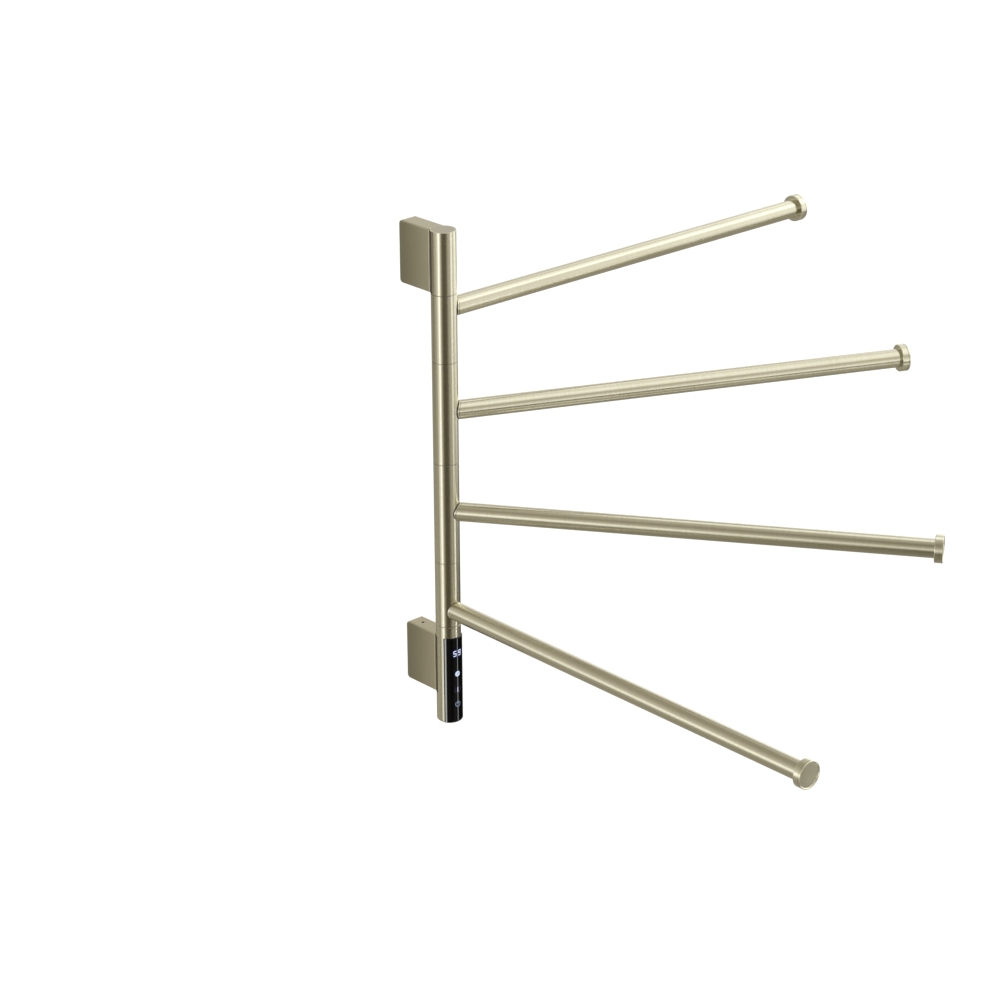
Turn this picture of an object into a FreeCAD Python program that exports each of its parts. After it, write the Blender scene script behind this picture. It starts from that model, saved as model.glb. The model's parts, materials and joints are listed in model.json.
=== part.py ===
import FreeCAD, Part
import math
import os
from FreeCAD import Vector

# Heated towel rack with four swing arms, in millimetres.
# A round post stands off the wall on two slab brackets. Four hub tubes turn on a spindle
# inside the post, and each hub carries one heated arm. A touch display closes the post's foot.
# The origin is on the wall, at the centre of the upper wall plate's back face.
# +X runs along the wall, +Z is up and the room is on the -Y side.

# Post: a stack of tubes about one upright axis
POST_DIAMETER = 32.0
POST_WALL = 1.5
POST_STANDOFF = 67.0
ARM_COUNT = 4
ARM_PITCH = 133.0
HUB_END_MARGIN = 21.0
CONTROL_LENGTH = 135.0
SEAM_GAP = 0.8
TUBE_END_CHAMFER = 0.3
TOP_CAP_THICKNESS = 4.0
TOP_CAP_CHAMFER = 0.4

# Arms: each hub's tube, its saddle ring and the round stop at its end
ARM_DIAMETER = 24.0
ARM_WALL = 1.2
ARM_REACH = 616.0
ARM_REST_ANGLES = (-2.0, -25.6, -54.8, -90.6)
SWING = 180.0
SADDLE_SHADOW_GAP = 0.5
SADDLE_RING_WIDTH = 2.2
SADDLE_GROOVE_WIDTH = 0.4
CAP_DIAMETER = 35.0
CAP_LENGTH = 10.5
CAP_FACE_LENGTH = 1.8
CAP_EDGE = 0.8
CAP_GROOVE_WIDTH = 0.5
CAP_GROOVE_DEPTH = 0.6
CAP_PLUG_LENGTH = 12.0

# Arm root: the hollow spigot that passes through the hub's wall, and its nut
SPIGOT_LENGTH = 26.0
NECK_DIAMETER = 16.0
NECK_INNER_CLEARANCE = 1.0
NUT_DIAMETER = 21.0
NUT_THICKNESS = 2.8

# Heating rod in each arm and the rings that centre it
ROD_DIAMETER = 10.0
ROD_FIT = 0.1
ROD_START_INSET = 3.0
ROD_TAIL_GAP = 0.5
ROD_SPACER_LENGTH = 8.0
ROD_SPACER_COUNT = 3

# Spindle, bushes and stops inside the post
SPINDLE_DIAMETER = 20.0
SPINDLE_WALL = 2.0
RUNNING_CLEARANCE = 0.05
BUSH_LENGTH = 9.0
WASHER_INSET = 1.2
WASHER_PLAY = 0.1
STOP_PIN_DIAMETER = 4.0
STOP_SLOT_DEPTH = 5.0
STOP_SLOT_WALL = 0.7
STOP_PIN_CLEARANCE = 0.4
STOP_PLAY_DEGREES = 1.5
LEAD_SLOT_WIDTH = 7.0
LEAD_SLOT_HEIGHT = 16.0
LEAD_DIAMETER = 3.0
LEAD_CLEARANCE = 0.3
CORE_SETBACK = 4.0
SPINDLE_NUT_ACROSS_FLATS = 24.0
SPINDLE_NUT_HEIGHT = 5.0
SPINDLE_NUT_HEADROOM = 3.0

# Wall brackets: slabs with a pocket at the back
BRACKET_WIDTH = 24.0
BRACKET_HEIGHT = 80.0
BRACKET_CORNER_RADIUS = 5.0
BRACKET_EDGE_RADIUS = 1.2
POCKET_WALL = 2.4
POCKET_END_WALL = 5.0
POCKET_DEPTH = 38.0
BRACKET_BOLT_END_MARGIN = 20.0
BRACKET_BOLT_DIAMETER = 5.0
BRACKET_BOLT_HEAD_DIAMETER = 8.5
BRACKET_BOLT_HEAD_HEIGHT = 5.0
BRACKET_BOLT_SOCKET = 4.0
BRACKET_BOLT_SOCKET_DEPTH = 2.5
BOLT_TIP_CLEARANCE = 0.4

# Wall plates: bent steel channels that the brackets slide over
PLATE_THICKNESS = 3.0
PLATE_FIT = 0.2
PLATE_TAB_LENGTH = 24.0
WALL_SCREW_SPACING = 44.0
WALL_SCREW_HOLE_DIAMETER = 5.5
GRUB_SCREW_DIAMETER = 4.0
GRUB_SCREW_FROM_WALL = 18.6
GRUB_SCREW_RECESS = 1.5
GRUB_SOCKET = 2.0
GRUB_SOCKET_DEPTH = 1.6

# Supply cable entry and terminal block behind the lower bracket
GROMMET_HOLE_DIAMETER = 9.5
GROMMET_BORE = 6.5
GROMMET_FLANGE_DIAMETER = 12.5
GROMMET_FLANGE = 1.2
CABLE_PASSAGE_DIAMETER = 6.0
CABLE_PASSAGE_SHARE = 0.4
TERMINAL_WIDTH = 12.0
TERMINAL_DEPTH = 14.0
TERMINAL_SCREW_SHARE = 0.6
TERMINAL_SCREW_DEPTH = 3.0
TERMINAL_WAYS = 3
TERMINAL_GAP = 1.4

# Control end: housing, touch panel and what is behind it
PANEL_DROP = 16.0
PANEL_HALF_ANGLE = 64.0
PANEL_PROUD = 1.4
PANEL_FIT = 0.2
PANEL_INNER_FIT = 0.2
PANEL_EDGE_RADIUS = 0.6
PANEL_FOOT_RADIUS = 2.4
PANEL_FOOT_RAISE = 0.4
FOOT_RADIUS = 3.0
FOOT_PLUG_DIAMETER = 24.0
FOOT_PLUG_CHAMFER = 0.4
FOOT_PLUG_SEAT = 1.5
CHASSIS_FACE = 1.0
CHASSIS_GROOVE_DIAMETER = 9.0
CHASSIS_FOOT_GAP = 4.0
BOARD_THICKNESS = 1.6
BOARD_WIDTH = 25.0
BOARD_END_GAP = 6.0
DISPLAY_WIDTH = 15.0
DISPLAY_HEIGHT = 14.0
DISPLAY_LEVEL_SHARE = 0.175
LIGHT_GUIDE_DIAMETER = 7.0
LIGHT_GUIDE_FLANGE_DIAMETER = 9.5
LIGHT_GUIDE_FLANGE = 1.5
GUIDE_LEVEL_SHARES = (0.4235, 0.607, 0.7835)
PANEL_AIR = 0.3

# One overrun serves every cut that has to pass a face
OVERRUN = 1.0

# Worked out from the sizes above
POST_RADIUS = POST_DIAMETER / 2
POST_BORE = POST_RADIUS - POST_WALL
ARM_RADIUS = ARM_DIAMETER / 2
ARM_BORE = ARM_RADIUS - ARM_WALL
SPINDLE_RADIUS = SPINDLE_DIAMETER / 2
SPINDLE_BORE = SPINDLE_RADIUS - SPINDLE_WALL
BUSH_BORE = SPINDLE_RADIUS + RUNNING_CLEARANCE
ROD_RADIUS = ROD_DIAMETER / 2
NECK_RADIUS = NECK_DIAMETER / 2
POST_TOP = BRACKET_HEIGHT / 2
TOP_SEAM = POST_TOP - BRACKET_HEIGHT
FIRST_ARM_LEVEL = TOP_SEAM - HUB_END_MARGIN
ARM_LEVELS = [FIRST_ARM_LEVEL - index * ARM_PITCH for index in range(ARM_COUNT)]
BOTTOM_SEAM = ARM_LEVELS[-1] - HUB_END_MARGIN
MIDDLE_SEAMS = [(upper + lower) / 2 for upper, lower in zip(ARM_LEVELS, ARM_LEVELS[1:])]
SEAMS = [TOP_SEAM] + MIDDLE_SEAMS + [BOTTOM_SEAM]
POST_BOTTOM = BOTTOM_SEAM - CONTROL_LENGTH
PANEL_TOP = BOTTOM_SEAM - PANEL_DROP
UPPER_BRACKET_LEVEL = POST_TOP - BRACKET_HEIGHT / 2
LOWER_BRACKET_LEVEL = PANEL_TOP - BRACKET_HEIGHT / 2
SPINDLE_NUT_TOP = POST_TOP - TOP_CAP_THICKNESS - SPINDLE_NUT_HEADROOM
CORE_TOP = SPINDLE_NUT_TOP - SPINDLE_NUT_HEIGHT
CORE_BOTTOM = TOP_SEAM + SEAM_GAP / 2 + CORE_SETBACK
CHASSIS_TOP = BOTTOM_SEAM - SEAM_GAP / 2 - CORE_SETBACK
CHASSIS_SHOULDER = PANEL_TOP + CORE_SETBACK / 2
CHASSIS_BOTTOM = POST_BOTTOM + FOOT_RADIUS + CHASSIS_FOOT_GAP
POCKET_WIDTH = BRACKET_WIDTH - 2 * POCKET_WALL
POCKET_HEIGHT = BRACKET_HEIGHT - 2 * POCKET_END_WALL
BRACKET_BOLT_OFFSET = BRACKET_HEIGHT / 2 - BRACKET_BOLT_END_MARGIN
CABLE_PASSAGE_RISE = CABLE_PASSAGE_SHARE * BRACKET_BOLT_OFFSET
PANEL_LENGTH = PANEL_TOP - POST_BOTTOM
DISPLAY_LEVEL = PANEL_TOP - DISPLAY_LEVEL_SHARE * PANEL_LENGTH
GUIDE_LEVELS = [PANEL_TOP - share * PANEL_LENGTH for share in GUIDE_LEVEL_SHARES]

ORIGIN = Vector(0, 0, 0)
UP = Vector(0, 0, 1)
ALONG_WALL = Vector(1, 0, 0)
TO_ROOM = Vector(0, -1, 0)
TO_WALL = Vector(0, 1, 0)
FULL_TURN = 360.0
ROOM_AZIMUTH = -90.0
WALL_AZIMUTH = 90.0


# Shapes that several pieces share

def rod(radius, start, direction, length):
    """A plain cylinder from a start point along a direction."""
    return Part.makeCylinder(radius, length, start, direction)


def upright_tube(outer, inner, low, high):
    """A round tube about the Z axis between two levels."""
    blank = rod(outer, Vector(0, 0, low), UP, high - low)
    return blank.cut(rod(inner, Vector(0, 0, low), UP, high - low))


def lathe(points, sweep=FULL_TURN, start=0.0):
    """Turn an outline of (radius, level) points about the Z axis."""
    corners = [Vector(radius, 0, level) for radius, level in points]
    face = Part.Face(Part.makePolygon(corners + corners[:1]))
    solid = face.revolve(ORIGIN, UP, sweep)
    if solid.Volume < 0:
        solid.reverse()
    return solid.rotate(ORIGIN, UP, start)


def chamfered_tube(outer, inner, low, high, chamfer):
    """A tube whose two outer end edges are broken by a chamfer."""
    return lathe([
        (inner, low), (outer - chamfer, low), (outer, low + chamfer),
        (outer, high - chamfer), (outer - chamfer, high), (inner, high),
    ])


def box(width, depth, height, centre):
    """A block about its centre."""
    corner = centre - Vector(width / 2, depth / 2, height / 2)
    return Part.makeBox(width, depth, height, corner)


def hexagon(across_flats, height, low):
    """A six-sided bar about the Z axis."""
    corner_radius = across_flats / math.sqrt(3)
    turns = [math.radians(FULL_TURN * side / 6) for side in range(6)]
    corners = [Vector(math.cos(turn), math.sin(turn), 0) * corner_radius + UP * low for turn in turns]
    return Part.Face(Part.makePolygon(corners + corners[:1])).extrude(UP * height)


def saddle(shape, post_radius):
    """Cut a piece that lies along +X back to a cylinder about the post's axis."""
    reach = ARM_DIAMETER + OVERRUN
    return shape.cut(rod(post_radius, Vector(0, 0, -reach), UP, 2 * reach))


def on_post(shape):
    """Carry a shape that was made about the Z axis out to the post's axis."""
    return shape.translate(TO_ROOM * POST_STANDOFF)


def on_arm(shape, index):
    """Turn and lift a shape that was made about the X axis to its arm's rest place."""
    turned = shape.rotate(ORIGIN, UP, ARM_REST_ANGLES[index])
    return on_post(turned.translate(UP * ARM_LEVELS[index]))


def group(solids):
    """Separate solids that share one node."""
    return Part.makeCompound(solids)


# Wall plates and brackets

def wall_plate(level, cable_hole):
    """A plate on the wall, bent forward at both ends, with two screw holes."""
    width = POCKET_WIDTH - 2 * PLATE_FIT
    height = POCKET_HEIGHT - 2 * PLATE_FIT
    back = box(width, PLATE_THICKNESS, height, Vector(0, -PLATE_THICKNESS / 2, level))
    plate = back
    for side in (1, -1):
        tab_level = level + side * (height / 2 - PLATE_THICKNESS / 2)
        plate = plate.fuse(box(width, PLATE_TAB_LENGTH, PLATE_THICKNESS,
                               Vector(0, -PLATE_TAB_LENGTH / 2, tab_level)))
    reach = PLATE_THICKNESS + 2 * OVERRUN
    for side in (1, -1):
        start = Vector(0, OVERRUN, level + side * WALL_SCREW_SPACING / 2)
        plate = plate.cut(rod(WALL_SCREW_HOLE_DIAMETER / 2, start, TO_ROOM, reach))
    if cable_hole:
        plate = plate.cut(rod(GROMMET_HOLE_DIAMETER / 2, Vector(0, OVERRUN, level), TO_ROOM, reach))
    return plate.removeSplitter()


def bracket_bolt_levels(level):
    """Heights of a bracket's two bolts."""
    return [level + side * BRACKET_BOLT_OFFSET for side in (1, -1)]


def wall_corner_edges(slab):
    """The two edges along X where the slab's wall face meets its top and bottom."""
    half_height = BRACKET_HEIGHT / 2
    return [edge for edge in slab.Edges
            if edge.BoundBox.XLength > BRACKET_WIDTH / 2 and abs(edge.CenterOfMass.y) < BRACKET_EDGE_RADIUS
            and abs(abs(edge.CenterOfMass.z) - half_height) < BRACKET_EDGE_RADIUS]


def flank_edges(slab):
    """The edges round both flanks, without those in the wall plane."""
    flank = BRACKET_WIDTH / 2
    return [edge for edge in slab.Edges
            if abs(abs(edge.CenterOfMass.x) - flank) < BRACKET_EDGE_RADIUS / 2
            and edge.BoundBox.YMin < -BRACKET_EDGE_RADIUS]


def bracket_blank():
    """The slab, hollowed to sit on the post: round corners at the wall and soft flank edges."""
    slab = box(BRACKET_WIDTH, POST_STANDOFF, BRACKET_HEIGHT, Vector(0, -POST_STANDOFF / 2, 0))
    slab = slab.cut(rod(POST_RADIUS, Vector(0, -POST_STANDOFF, -BRACKET_HEIGHT), UP, 2 * BRACKET_HEIGHT))
    slab = slab.makeFillet(BRACKET_CORNER_RADIUS, wall_corner_edges(slab))
    return slab.makeFillet(BRACKET_EDGE_RADIUS, flank_edges(slab))


def bracket(level, grub_side, cable_passage):
    """A slab bracket: pocket for the wall plate, bolt holes and one grub-screw hole."""
    slab = bracket_blank()
    pocket = box(POCKET_WIDTH, POCKET_DEPTH + OVERRUN, POCKET_HEIGHT,
                 Vector(0, (OVERRUN - POCKET_DEPTH) / 2, 0))
    slab = slab.cut(pocket)
    for bolt_level in bracket_bolt_levels(0):
        slab = slab.cut(rod(BRACKET_BOLT_DIAMETER / 2, Vector(0, 0, bolt_level), TO_ROOM, POST_STANDOFF))
    if cable_passage:
        slab = slab.cut(rod(CABLE_PASSAGE_DIAMETER / 2, UP * CABLE_PASSAGE_RISE, TO_ROOM, POST_STANDOFF))
    grub_start = Vector(0, -GRUB_SCREW_FROM_WALL, grub_side * (BRACKET_HEIGHT / 2 + OVERRUN))
    slab = slab.cut(rod(GRUB_SCREW_DIAMETER / 2, grub_start, UP * -grub_side, POCKET_END_WALL + 2 * OVERRUN))
    return slab.translate(UP * level)


def grub_screw(level, grub_side):
    """A socket grub screw that presses on the wall plate's tab."""
    outer_end = level + grub_side * (BRACKET_HEIGHT / 2 - GRUB_SCREW_RECESS)
    length = POCKET_END_WALL - GRUB_SCREW_RECESS + PLATE_FIT
    start = Vector(0, -GRUB_SCREW_FROM_WALL, outer_end)
    screw = rod(GRUB_SCREW_DIAMETER / 2, start, UP * -grub_side, length)
    socket = hexagon(GRUB_SOCKET, GRUB_SOCKET_DEPTH, -GRUB_SOCKET_DEPTH if grub_side > 0 else 0)
    return screw.cut(socket.translate(start))


def bracket_bolt(bolt_level):
    """A socket-head bolt from the bracket's pocket into the core inside the post."""
    seat = Vector(0, -POCKET_DEPTH, bolt_level)
    tip_distance = POST_STANDOFF - SPINDLE_RADIUS - BOLT_TIP_CLEARANCE
    shank = rod(BRACKET_BOLT_DIAMETER / 2, seat, TO_ROOM, tip_distance - POCKET_DEPTH)
    head = rod(BRACKET_BOLT_HEAD_DIAMETER / 2, seat, TO_WALL, BRACKET_BOLT_HEAD_HEIGHT)
    socket = hexagon(BRACKET_BOLT_SOCKET, BRACKET_BOLT_SOCKET_DEPTH, 0).rotate(ORIGIN, ALONG_WALL, 90)
    head_face = seat + TO_WALL * BRACKET_BOLT_HEAD_HEIGHT
    return shank.fuse(head).cut(socket.translate(head_face)).removeSplitter()


def cut_bolt_holes(shape, level):
    """Open a piece about the Z axis for a bracket's bolts, from the wall's side."""
    for bolt_level in bracket_bolt_levels(level):
        hole = rod(BRACKET_BOLT_DIAMETER / 2, Vector(0, 0, bolt_level), TO_WALL, POST_RADIUS + OVERRUN)
        shape = shape.cut(hole)
    return shape


def cut_cable_passage(shape):
    """Open a piece about the Z axis for the supply leads, from the wall's side."""
    start = Vector(0, 0, LOWER_BRACKET_LEVEL + CABLE_PASSAGE_RISE)
    return shape.cut(rod(CABLE_PASSAGE_DIAMETER / 2, start, TO_WALL, POST_RADIUS + OVERRUN))


# Post: fixed pieces

def post_top_tube():
    """The fixed tube above the hubs, open at its top for the inset cap."""
    low = TOP_SEAM + SEAM_GAP / 2
    tube = chamfered_tube(POST_RADIUS, POST_BORE, low, POST_TOP, TUBE_END_CHAMFER)
    return on_post(cut_bolt_holes(tube, UPPER_BRACKET_LEVEL))


def post_top_cap():
    """A flat disc set into the mouth of the top tube."""
    low = POST_TOP - TOP_CAP_THICKNESS
    return on_post(lathe([
        (0, low), (POST_BORE, low), (POST_BORE, POST_TOP - TOP_CAP_CHAMFER),
        (POST_BORE - TOP_CAP_CHAMFER, POST_TOP), (0, POST_TOP),
    ]))


def top_core():
    """The sleeve between spindle and top tube that the upper bracket's bolts screw into."""
    core = upright_tube(POST_BORE, SPINDLE_RADIUS, CORE_BOTTOM, CORE_TOP)
    return on_post(cut_bolt_holes(core, UPPER_BRACKET_LEVEL))


def spindle_nut():
    """The hexagon nut that holds the spindle on the top core."""
    nut = hexagon(SPINDLE_NUT_ACROSS_FLATS, SPINDLE_NUT_HEIGHT, CORE_TOP)
    bore = rod(SPINDLE_RADIUS, Vector(0, 0, CORE_TOP - OVERRUN), UP, SPINDLE_NUT_HEIGHT + 2 * OVERRUN)
    return on_post(nut.cut(bore))


def stop_pin_level(index):
    """Height of a hub's stop pin: half-way down the slot in the hub's upper bush."""
    return SEAMS[index] - SEAM_GAP / 2 - STOP_SLOT_DEPTH / 2


def spindle():
    """The fixed tube that the hubs turn on, with a lead slot and a pin hole for each arm."""
    tube = upright_tube(SPINDLE_RADIUS, SPINDLE_BORE, CHASSIS_SHOULDER, SPINDLE_NUT_TOP)
    for level in ARM_LEVELS:
        slot_centre = Vector(0, -SPINDLE_RADIUS, level)
        tube = tube.cut(box(LEAD_SLOT_WIDTH, SPINDLE_RADIUS, LEAD_SLOT_HEIGHT, slot_centre))
    for index in range(ARM_COUNT):
        start = Vector(0, 0, stop_pin_level(index))
        tube = tube.cut(rod(STOP_PIN_DIAMETER / 2, start, TO_WALL, SPINDLE_RADIUS + OVERRUN))
    return on_post(tube)


def stop_slot_radius():
    """Outer radius of the slot that a stop pin runs in."""
    return POST_BORE - STOP_SLOT_WALL


def stop_pins():
    """One radial pin for each hub, pressed into the spindle on the wall's side."""
    pins = []
    for index in range(ARM_COUNT):
        start = Vector(0, SPINDLE_BORE, stop_pin_level(index))
        length = stop_slot_radius() - STOP_PIN_CLEARANCE - SPINDLE_BORE
        pins.append(rod(STOP_PIN_DIAMETER / 2, start, TO_WALL, length))
    return on_post(group(pins))


def seam_washers():
    """A slip washer in each seam of the post, set back from its surface."""
    half = SEAM_GAP / 2 - WASHER_PLAY
    return on_post(group([
        upright_tube(POST_RADIUS - WASHER_INSET, BUSH_BORE, seam - half, seam + half) for seam in SEAMS
    ]))


def lead_wires():
    """One twin lead for each arm, up the spindle's bore to the arm's slot."""
    radius = SPINDLE_BORE - LEAD_DIAMETER / 2 - LEAD_CLEARANCE
    leads = []
    for index, level in enumerate(ARM_LEVELS):
        turn = math.radians(FULL_TURN * (index + 1 / 2) / ARM_COUNT)
        start = Vector(radius * math.cos(turn), radius * math.sin(turn), CHASSIS_SHOULDER)
        leads.append(rod(LEAD_DIAMETER / 2, start, UP, level - CHASSIS_SHOULDER))
    return on_post(group(leads))


# Hubs and arms: each is made along +X and then turned to its rest angle

def hub_ends(index):
    """Lower and upper end of a hub, measured from its arm's level."""
    low = SEAMS[index + 1] + SEAM_GAP / 2 - ARM_LEVELS[index]
    high = SEAMS[index] - SEAM_GAP / 2 - ARM_LEVELS[index]
    return low, high


def hub_tube(index):
    """The turning tube of the post that carries one arm."""
    low, high = hub_ends(index)
    tube = chamfered_tube(POST_RADIUS, POST_BORE, low, high, TUBE_END_CHAMFER)
    neck_hole = rod(NECK_RADIUS, ORIGIN, ALONG_WALL, POST_RADIUS + OVERRUN)
    return on_arm(tube.cut(neck_hole), index)


def hub_bushes(index):
    """Two bushes at the hub's ends. The upper one has the slot that limits the swing."""
    low, high = hub_ends(index)
    lower_bush = upright_tube(POST_BORE, BUSH_BORE, low, low + BUSH_LENGTH)
    upper_bush = upright_tube(POST_BORE, BUSH_BORE, high - BUSH_LENGTH, high)
    pin_half_angle = math.degrees(math.asin(STOP_PIN_DIAMETER / 2 / SPINDLE_RADIUS))
    spare = pin_half_angle + STOP_PLAY_DEGREES
    slot_low = high - STOP_SLOT_DEPTH
    slot = lathe([
        (SPINDLE_RADIUS - OVERRUN, slot_low), (stop_slot_radius(), slot_low),
        (stop_slot_radius(), high + OVERRUN), (SPINDLE_RADIUS - OVERRUN, high + OVERRUN),
    ], SWING + 2 * spare, WALL_AZIMUTH - spare)
    return on_arm(group([lower_bush, upper_bush.cut(slot)]), index)


def spigot_seat():
    """Distance from the post's axis at which the arm's tube starts, along the saddle."""
    return POST_RADIUS + SADDLE_SHADOW_GAP + SADDLE_RING_WIDTH + SADDLE_GROOVE_WIDTH


def arm_spigot(index):
    """The hollow plug in the arm's root. Its neck passes through the hub's wall."""
    body = saddle(rod(ARM_BORE, ORIGIN, ALONG_WALL, POST_RADIUS + SPIGOT_LENGTH), POST_RADIUS)
    neck_start = SPINDLE_RADIUS + NECK_INNER_CLEARANCE
    neck = rod(NECK_RADIUS, Vector(neck_start, 0, 0), ALONG_WALL, POST_RADIUS)
    bore = rod(ROD_RADIUS + ROD_FIT, ORIGIN, ALONG_WALL, POST_RADIUS + SPIGOT_LENGTH + OVERRUN)
    return on_arm(body.fuse(neck).cut(bore).removeSplitter(), index)


def hub_nut(index):
    """The curved nut that draws the spigot against the hub from inside."""
    blank = rod(NUT_DIAMETER / 2, ORIGIN, ALONG_WALL, POST_RADIUS)
    shell = upright_tube(POST_BORE, POST_BORE - NUT_THICKNESS, -NUT_DIAMETER, NUT_DIAMETER)
    bore = rod(NECK_RADIUS, ORIGIN, ALONG_WALL, POST_RADIUS + OVERRUN)
    return on_arm(blank.common(shell).cut(bore), index)


def saddle_ring(index):
    """The bright ring round the arm's root, which follows the hub with a fine gap."""
    inner_seat = POST_RADIUS + SADDLE_SHADOW_GAP
    outer_seat = inner_seat + SADDLE_RING_WIDTH
    blank = rod(ARM_RADIUS, ORIGIN, ALONG_WALL, outer_seat + OVERRUN)
    blank = blank.cut(rod(ARM_BORE, ORIGIN, ALONG_WALL, outer_seat + 2 * OVERRUN))
    shell = upright_tube(outer_seat, inner_seat, -ARM_DIAMETER, ARM_DIAMETER)
    front_half = box(outer_seat + OVERRUN, 2 * outer_seat, 2 * ARM_DIAMETER,
                     Vector((outer_seat + OVERRUN) / 2, 0, 0))
    return on_arm(blank.common(shell).common(front_half), index)


def arm_tube(index):
    """The heated tube that the towel hangs on, cut to a saddle at its root."""
    end = ARM_REACH - CAP_LENGTH
    tube = rod(ARM_RADIUS, ORIGIN, ALONG_WALL, end).cut(rod(ARM_BORE, ORIGIN, ALONG_WALL, end))
    return on_arm(saddle(tube, spigot_seat()), index)


def end_cap(index):
    """The round stop at the arm's end: a band, a fine groove and a face, with a plug inside."""
    radius = CAP_DIAMETER / 2
    band_end = CAP_LENGTH - CAP_FACE_LENGTH - CAP_GROOVE_WIDTH
    face_start = CAP_LENGTH - CAP_FACE_LENGTH
    cap = lathe([
        (0, -CAP_PLUG_LENGTH), (ARM_BORE, -CAP_PLUG_LENGTH), (ARM_BORE, 0), (radius - CAP_EDGE, 0),
        (radius, CAP_EDGE), (radius, band_end), (radius - CAP_GROOVE_DEPTH, band_end),
        (radius - CAP_GROOVE_DEPTH, face_start), (radius, face_start), (radius, CAP_LENGTH - CAP_EDGE),
        (radius - CAP_EDGE, CAP_LENGTH), (0, CAP_LENGTH),
    ])
    cap = cap.rotate(ORIGIN, TO_WALL, WALL_AZIMUTH)
    return on_arm(cap.translate(ALONG_WALL * (ARM_REACH - CAP_LENGTH)), index)


def rod_ends():
    """Start and end of the heating rod, measured from the post's axis."""
    start = SPINDLE_RADIUS + NECK_INNER_CLEARANCE + ROD_START_INSET
    end = ARM_REACH - CAP_LENGTH - CAP_PLUG_LENGTH - ROD_TAIL_GAP
    return start, end


def heating_rod(index):
    """The sheathed heating rod along the arm's middle."""
    start, end = rod_ends()
    return on_arm(rod(ROD_RADIUS, Vector(start, 0, 0), ALONG_WALL, end - start), index)


def rod_spacers(index):
    """Rings that hold the heating rod in the middle of its tube."""
    first = POST_RADIUS + SPIGOT_LENGTH
    last = rod_ends()[1]
    step = (last - first - ROD_SPACER_LENGTH) / ROD_SPACER_COUNT
    rings = []
    for number in range(ROD_SPACER_COUNT):
        start = Vector(first + (number + 1) * step, 0, 0)
        ring = rod(ARM_BORE, start, ALONG_WALL, ROD_SPACER_LENGTH)
        rings.append(ring.cut(rod(ROD_RADIUS, start, ALONG_WALL, ROD_SPACER_LENGTH)))
    return on_arm(group(rings), index)


# Control end of the post

def round_footed(outer, inner, low, high, foot_radius, sweep, start):
    """A turned shell whose outer lower edge is an arc, closed by a straight inner wall."""
    bend = outer - foot_radius
    middle = foot_radius * (1 - math.sqrt(1 / 2))
    arc = Part.Arc(Vector(bend, 0, low), Vector(outer - middle, 0, low + middle),
                   Vector(outer, 0, low + foot_radius)).toShape()
    corners = [Vector(outer, 0, low + foot_radius), Vector(outer, 0, high), Vector(inner, 0, high),
               Vector(inner, 0, low), Vector(bend, 0, low)]
    lines = [Part.LineSegment(a, b).toShape() for a, b in zip(corners, corners[1:])]
    solid = Part.Face(Part.Wire([arc] + lines)).revolve(ORIGIN, UP, sweep)
    if solid.Volume < 0:
        solid.reverse()
    return solid.rotate(ORIGIN, UP, start)


def control_housing():
    """The fixed tube below the hubs, cut away in front for the touch panel."""
    high = BOTTOM_SEAM - SEAM_GAP / 2
    plug_radius = FOOT_PLUG_DIAMETER / 2
    shell = round_footed(POST_RADIUS, plug_radius, POST_BOTTOM, high, FOOT_RADIUS, FULL_TURN, 0)
    inside = rod(POST_BORE, Vector(0, 0, POST_BOTTOM + FOOT_RADIUS), UP, CONTROL_LENGTH)
    window_angle = PANEL_HALF_ANGLE + math.degrees(PANEL_FIT / POST_RADIUS)
    window = lathe([
        (POST_BORE, POST_BOTTOM - OVERRUN), (POST_RADIUS + OVERRUN, POST_BOTTOM - OVERRUN),
        (POST_RADIUS + OVERRUN, PANEL_TOP + PANEL_FIT), (POST_BORE, PANEL_TOP + PANEL_FIT),
    ], 2 * window_angle, ROOM_AZIMUTH - window_angle)
    shell = cut_bolt_holes(shell.cut(inside).cut(window), LOWER_BRACKET_LEVEL)
    return on_post(cut_cable_passage(shell))


def panel_cover():
    """The glossy touch panel: a curved shell that stands proud of the post."""
    outer = POST_RADIUS + PANEL_PROUD
    inner = POST_BORE + PANEL_INNER_FIT
    cover = round_footed(outer, inner, POST_BOTTOM + PANEL_FOOT_RAISE, PANEL_TOP, PANEL_FOOT_RADIUS,
                         2 * PANEL_HALF_ANGLE, ROOM_AZIMUTH - PANEL_HALF_ANGLE)
    sides = [edge for edge in cover.Edges
             if edge.BoundBox.ZLength > BRACKET_HEIGHT / 2
             and abs(math.hypot(edge.CenterOfMass.x, edge.CenterOfMass.y) - outer) < PANEL_PROUD / 2]
    return on_post(cover.makeFillet(PANEL_EDGE_RADIUS, sides))


def foot_plug():
    """The disc that closes the post from below."""
    radius = FOOT_PLUG_DIAMETER / 2
    seat = POST_BOTTOM + FOOT_RADIUS
    return on_post(lathe([
        (0, POST_BOTTOM), (radius - FOOT_PLUG_CHAMFER, POST_BOTTOM),
        (radius, POST_BOTTOM + FOOT_PLUG_CHAMFER), (radius, seat), (radius + FOOT_PLUG_SEAT, seat),
        (radius + FOOT_PLUG_SEAT, seat + FOOT_PLUG_SEAT), (0, seat + FOOT_PLUG_SEAT),
    ]))


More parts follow.
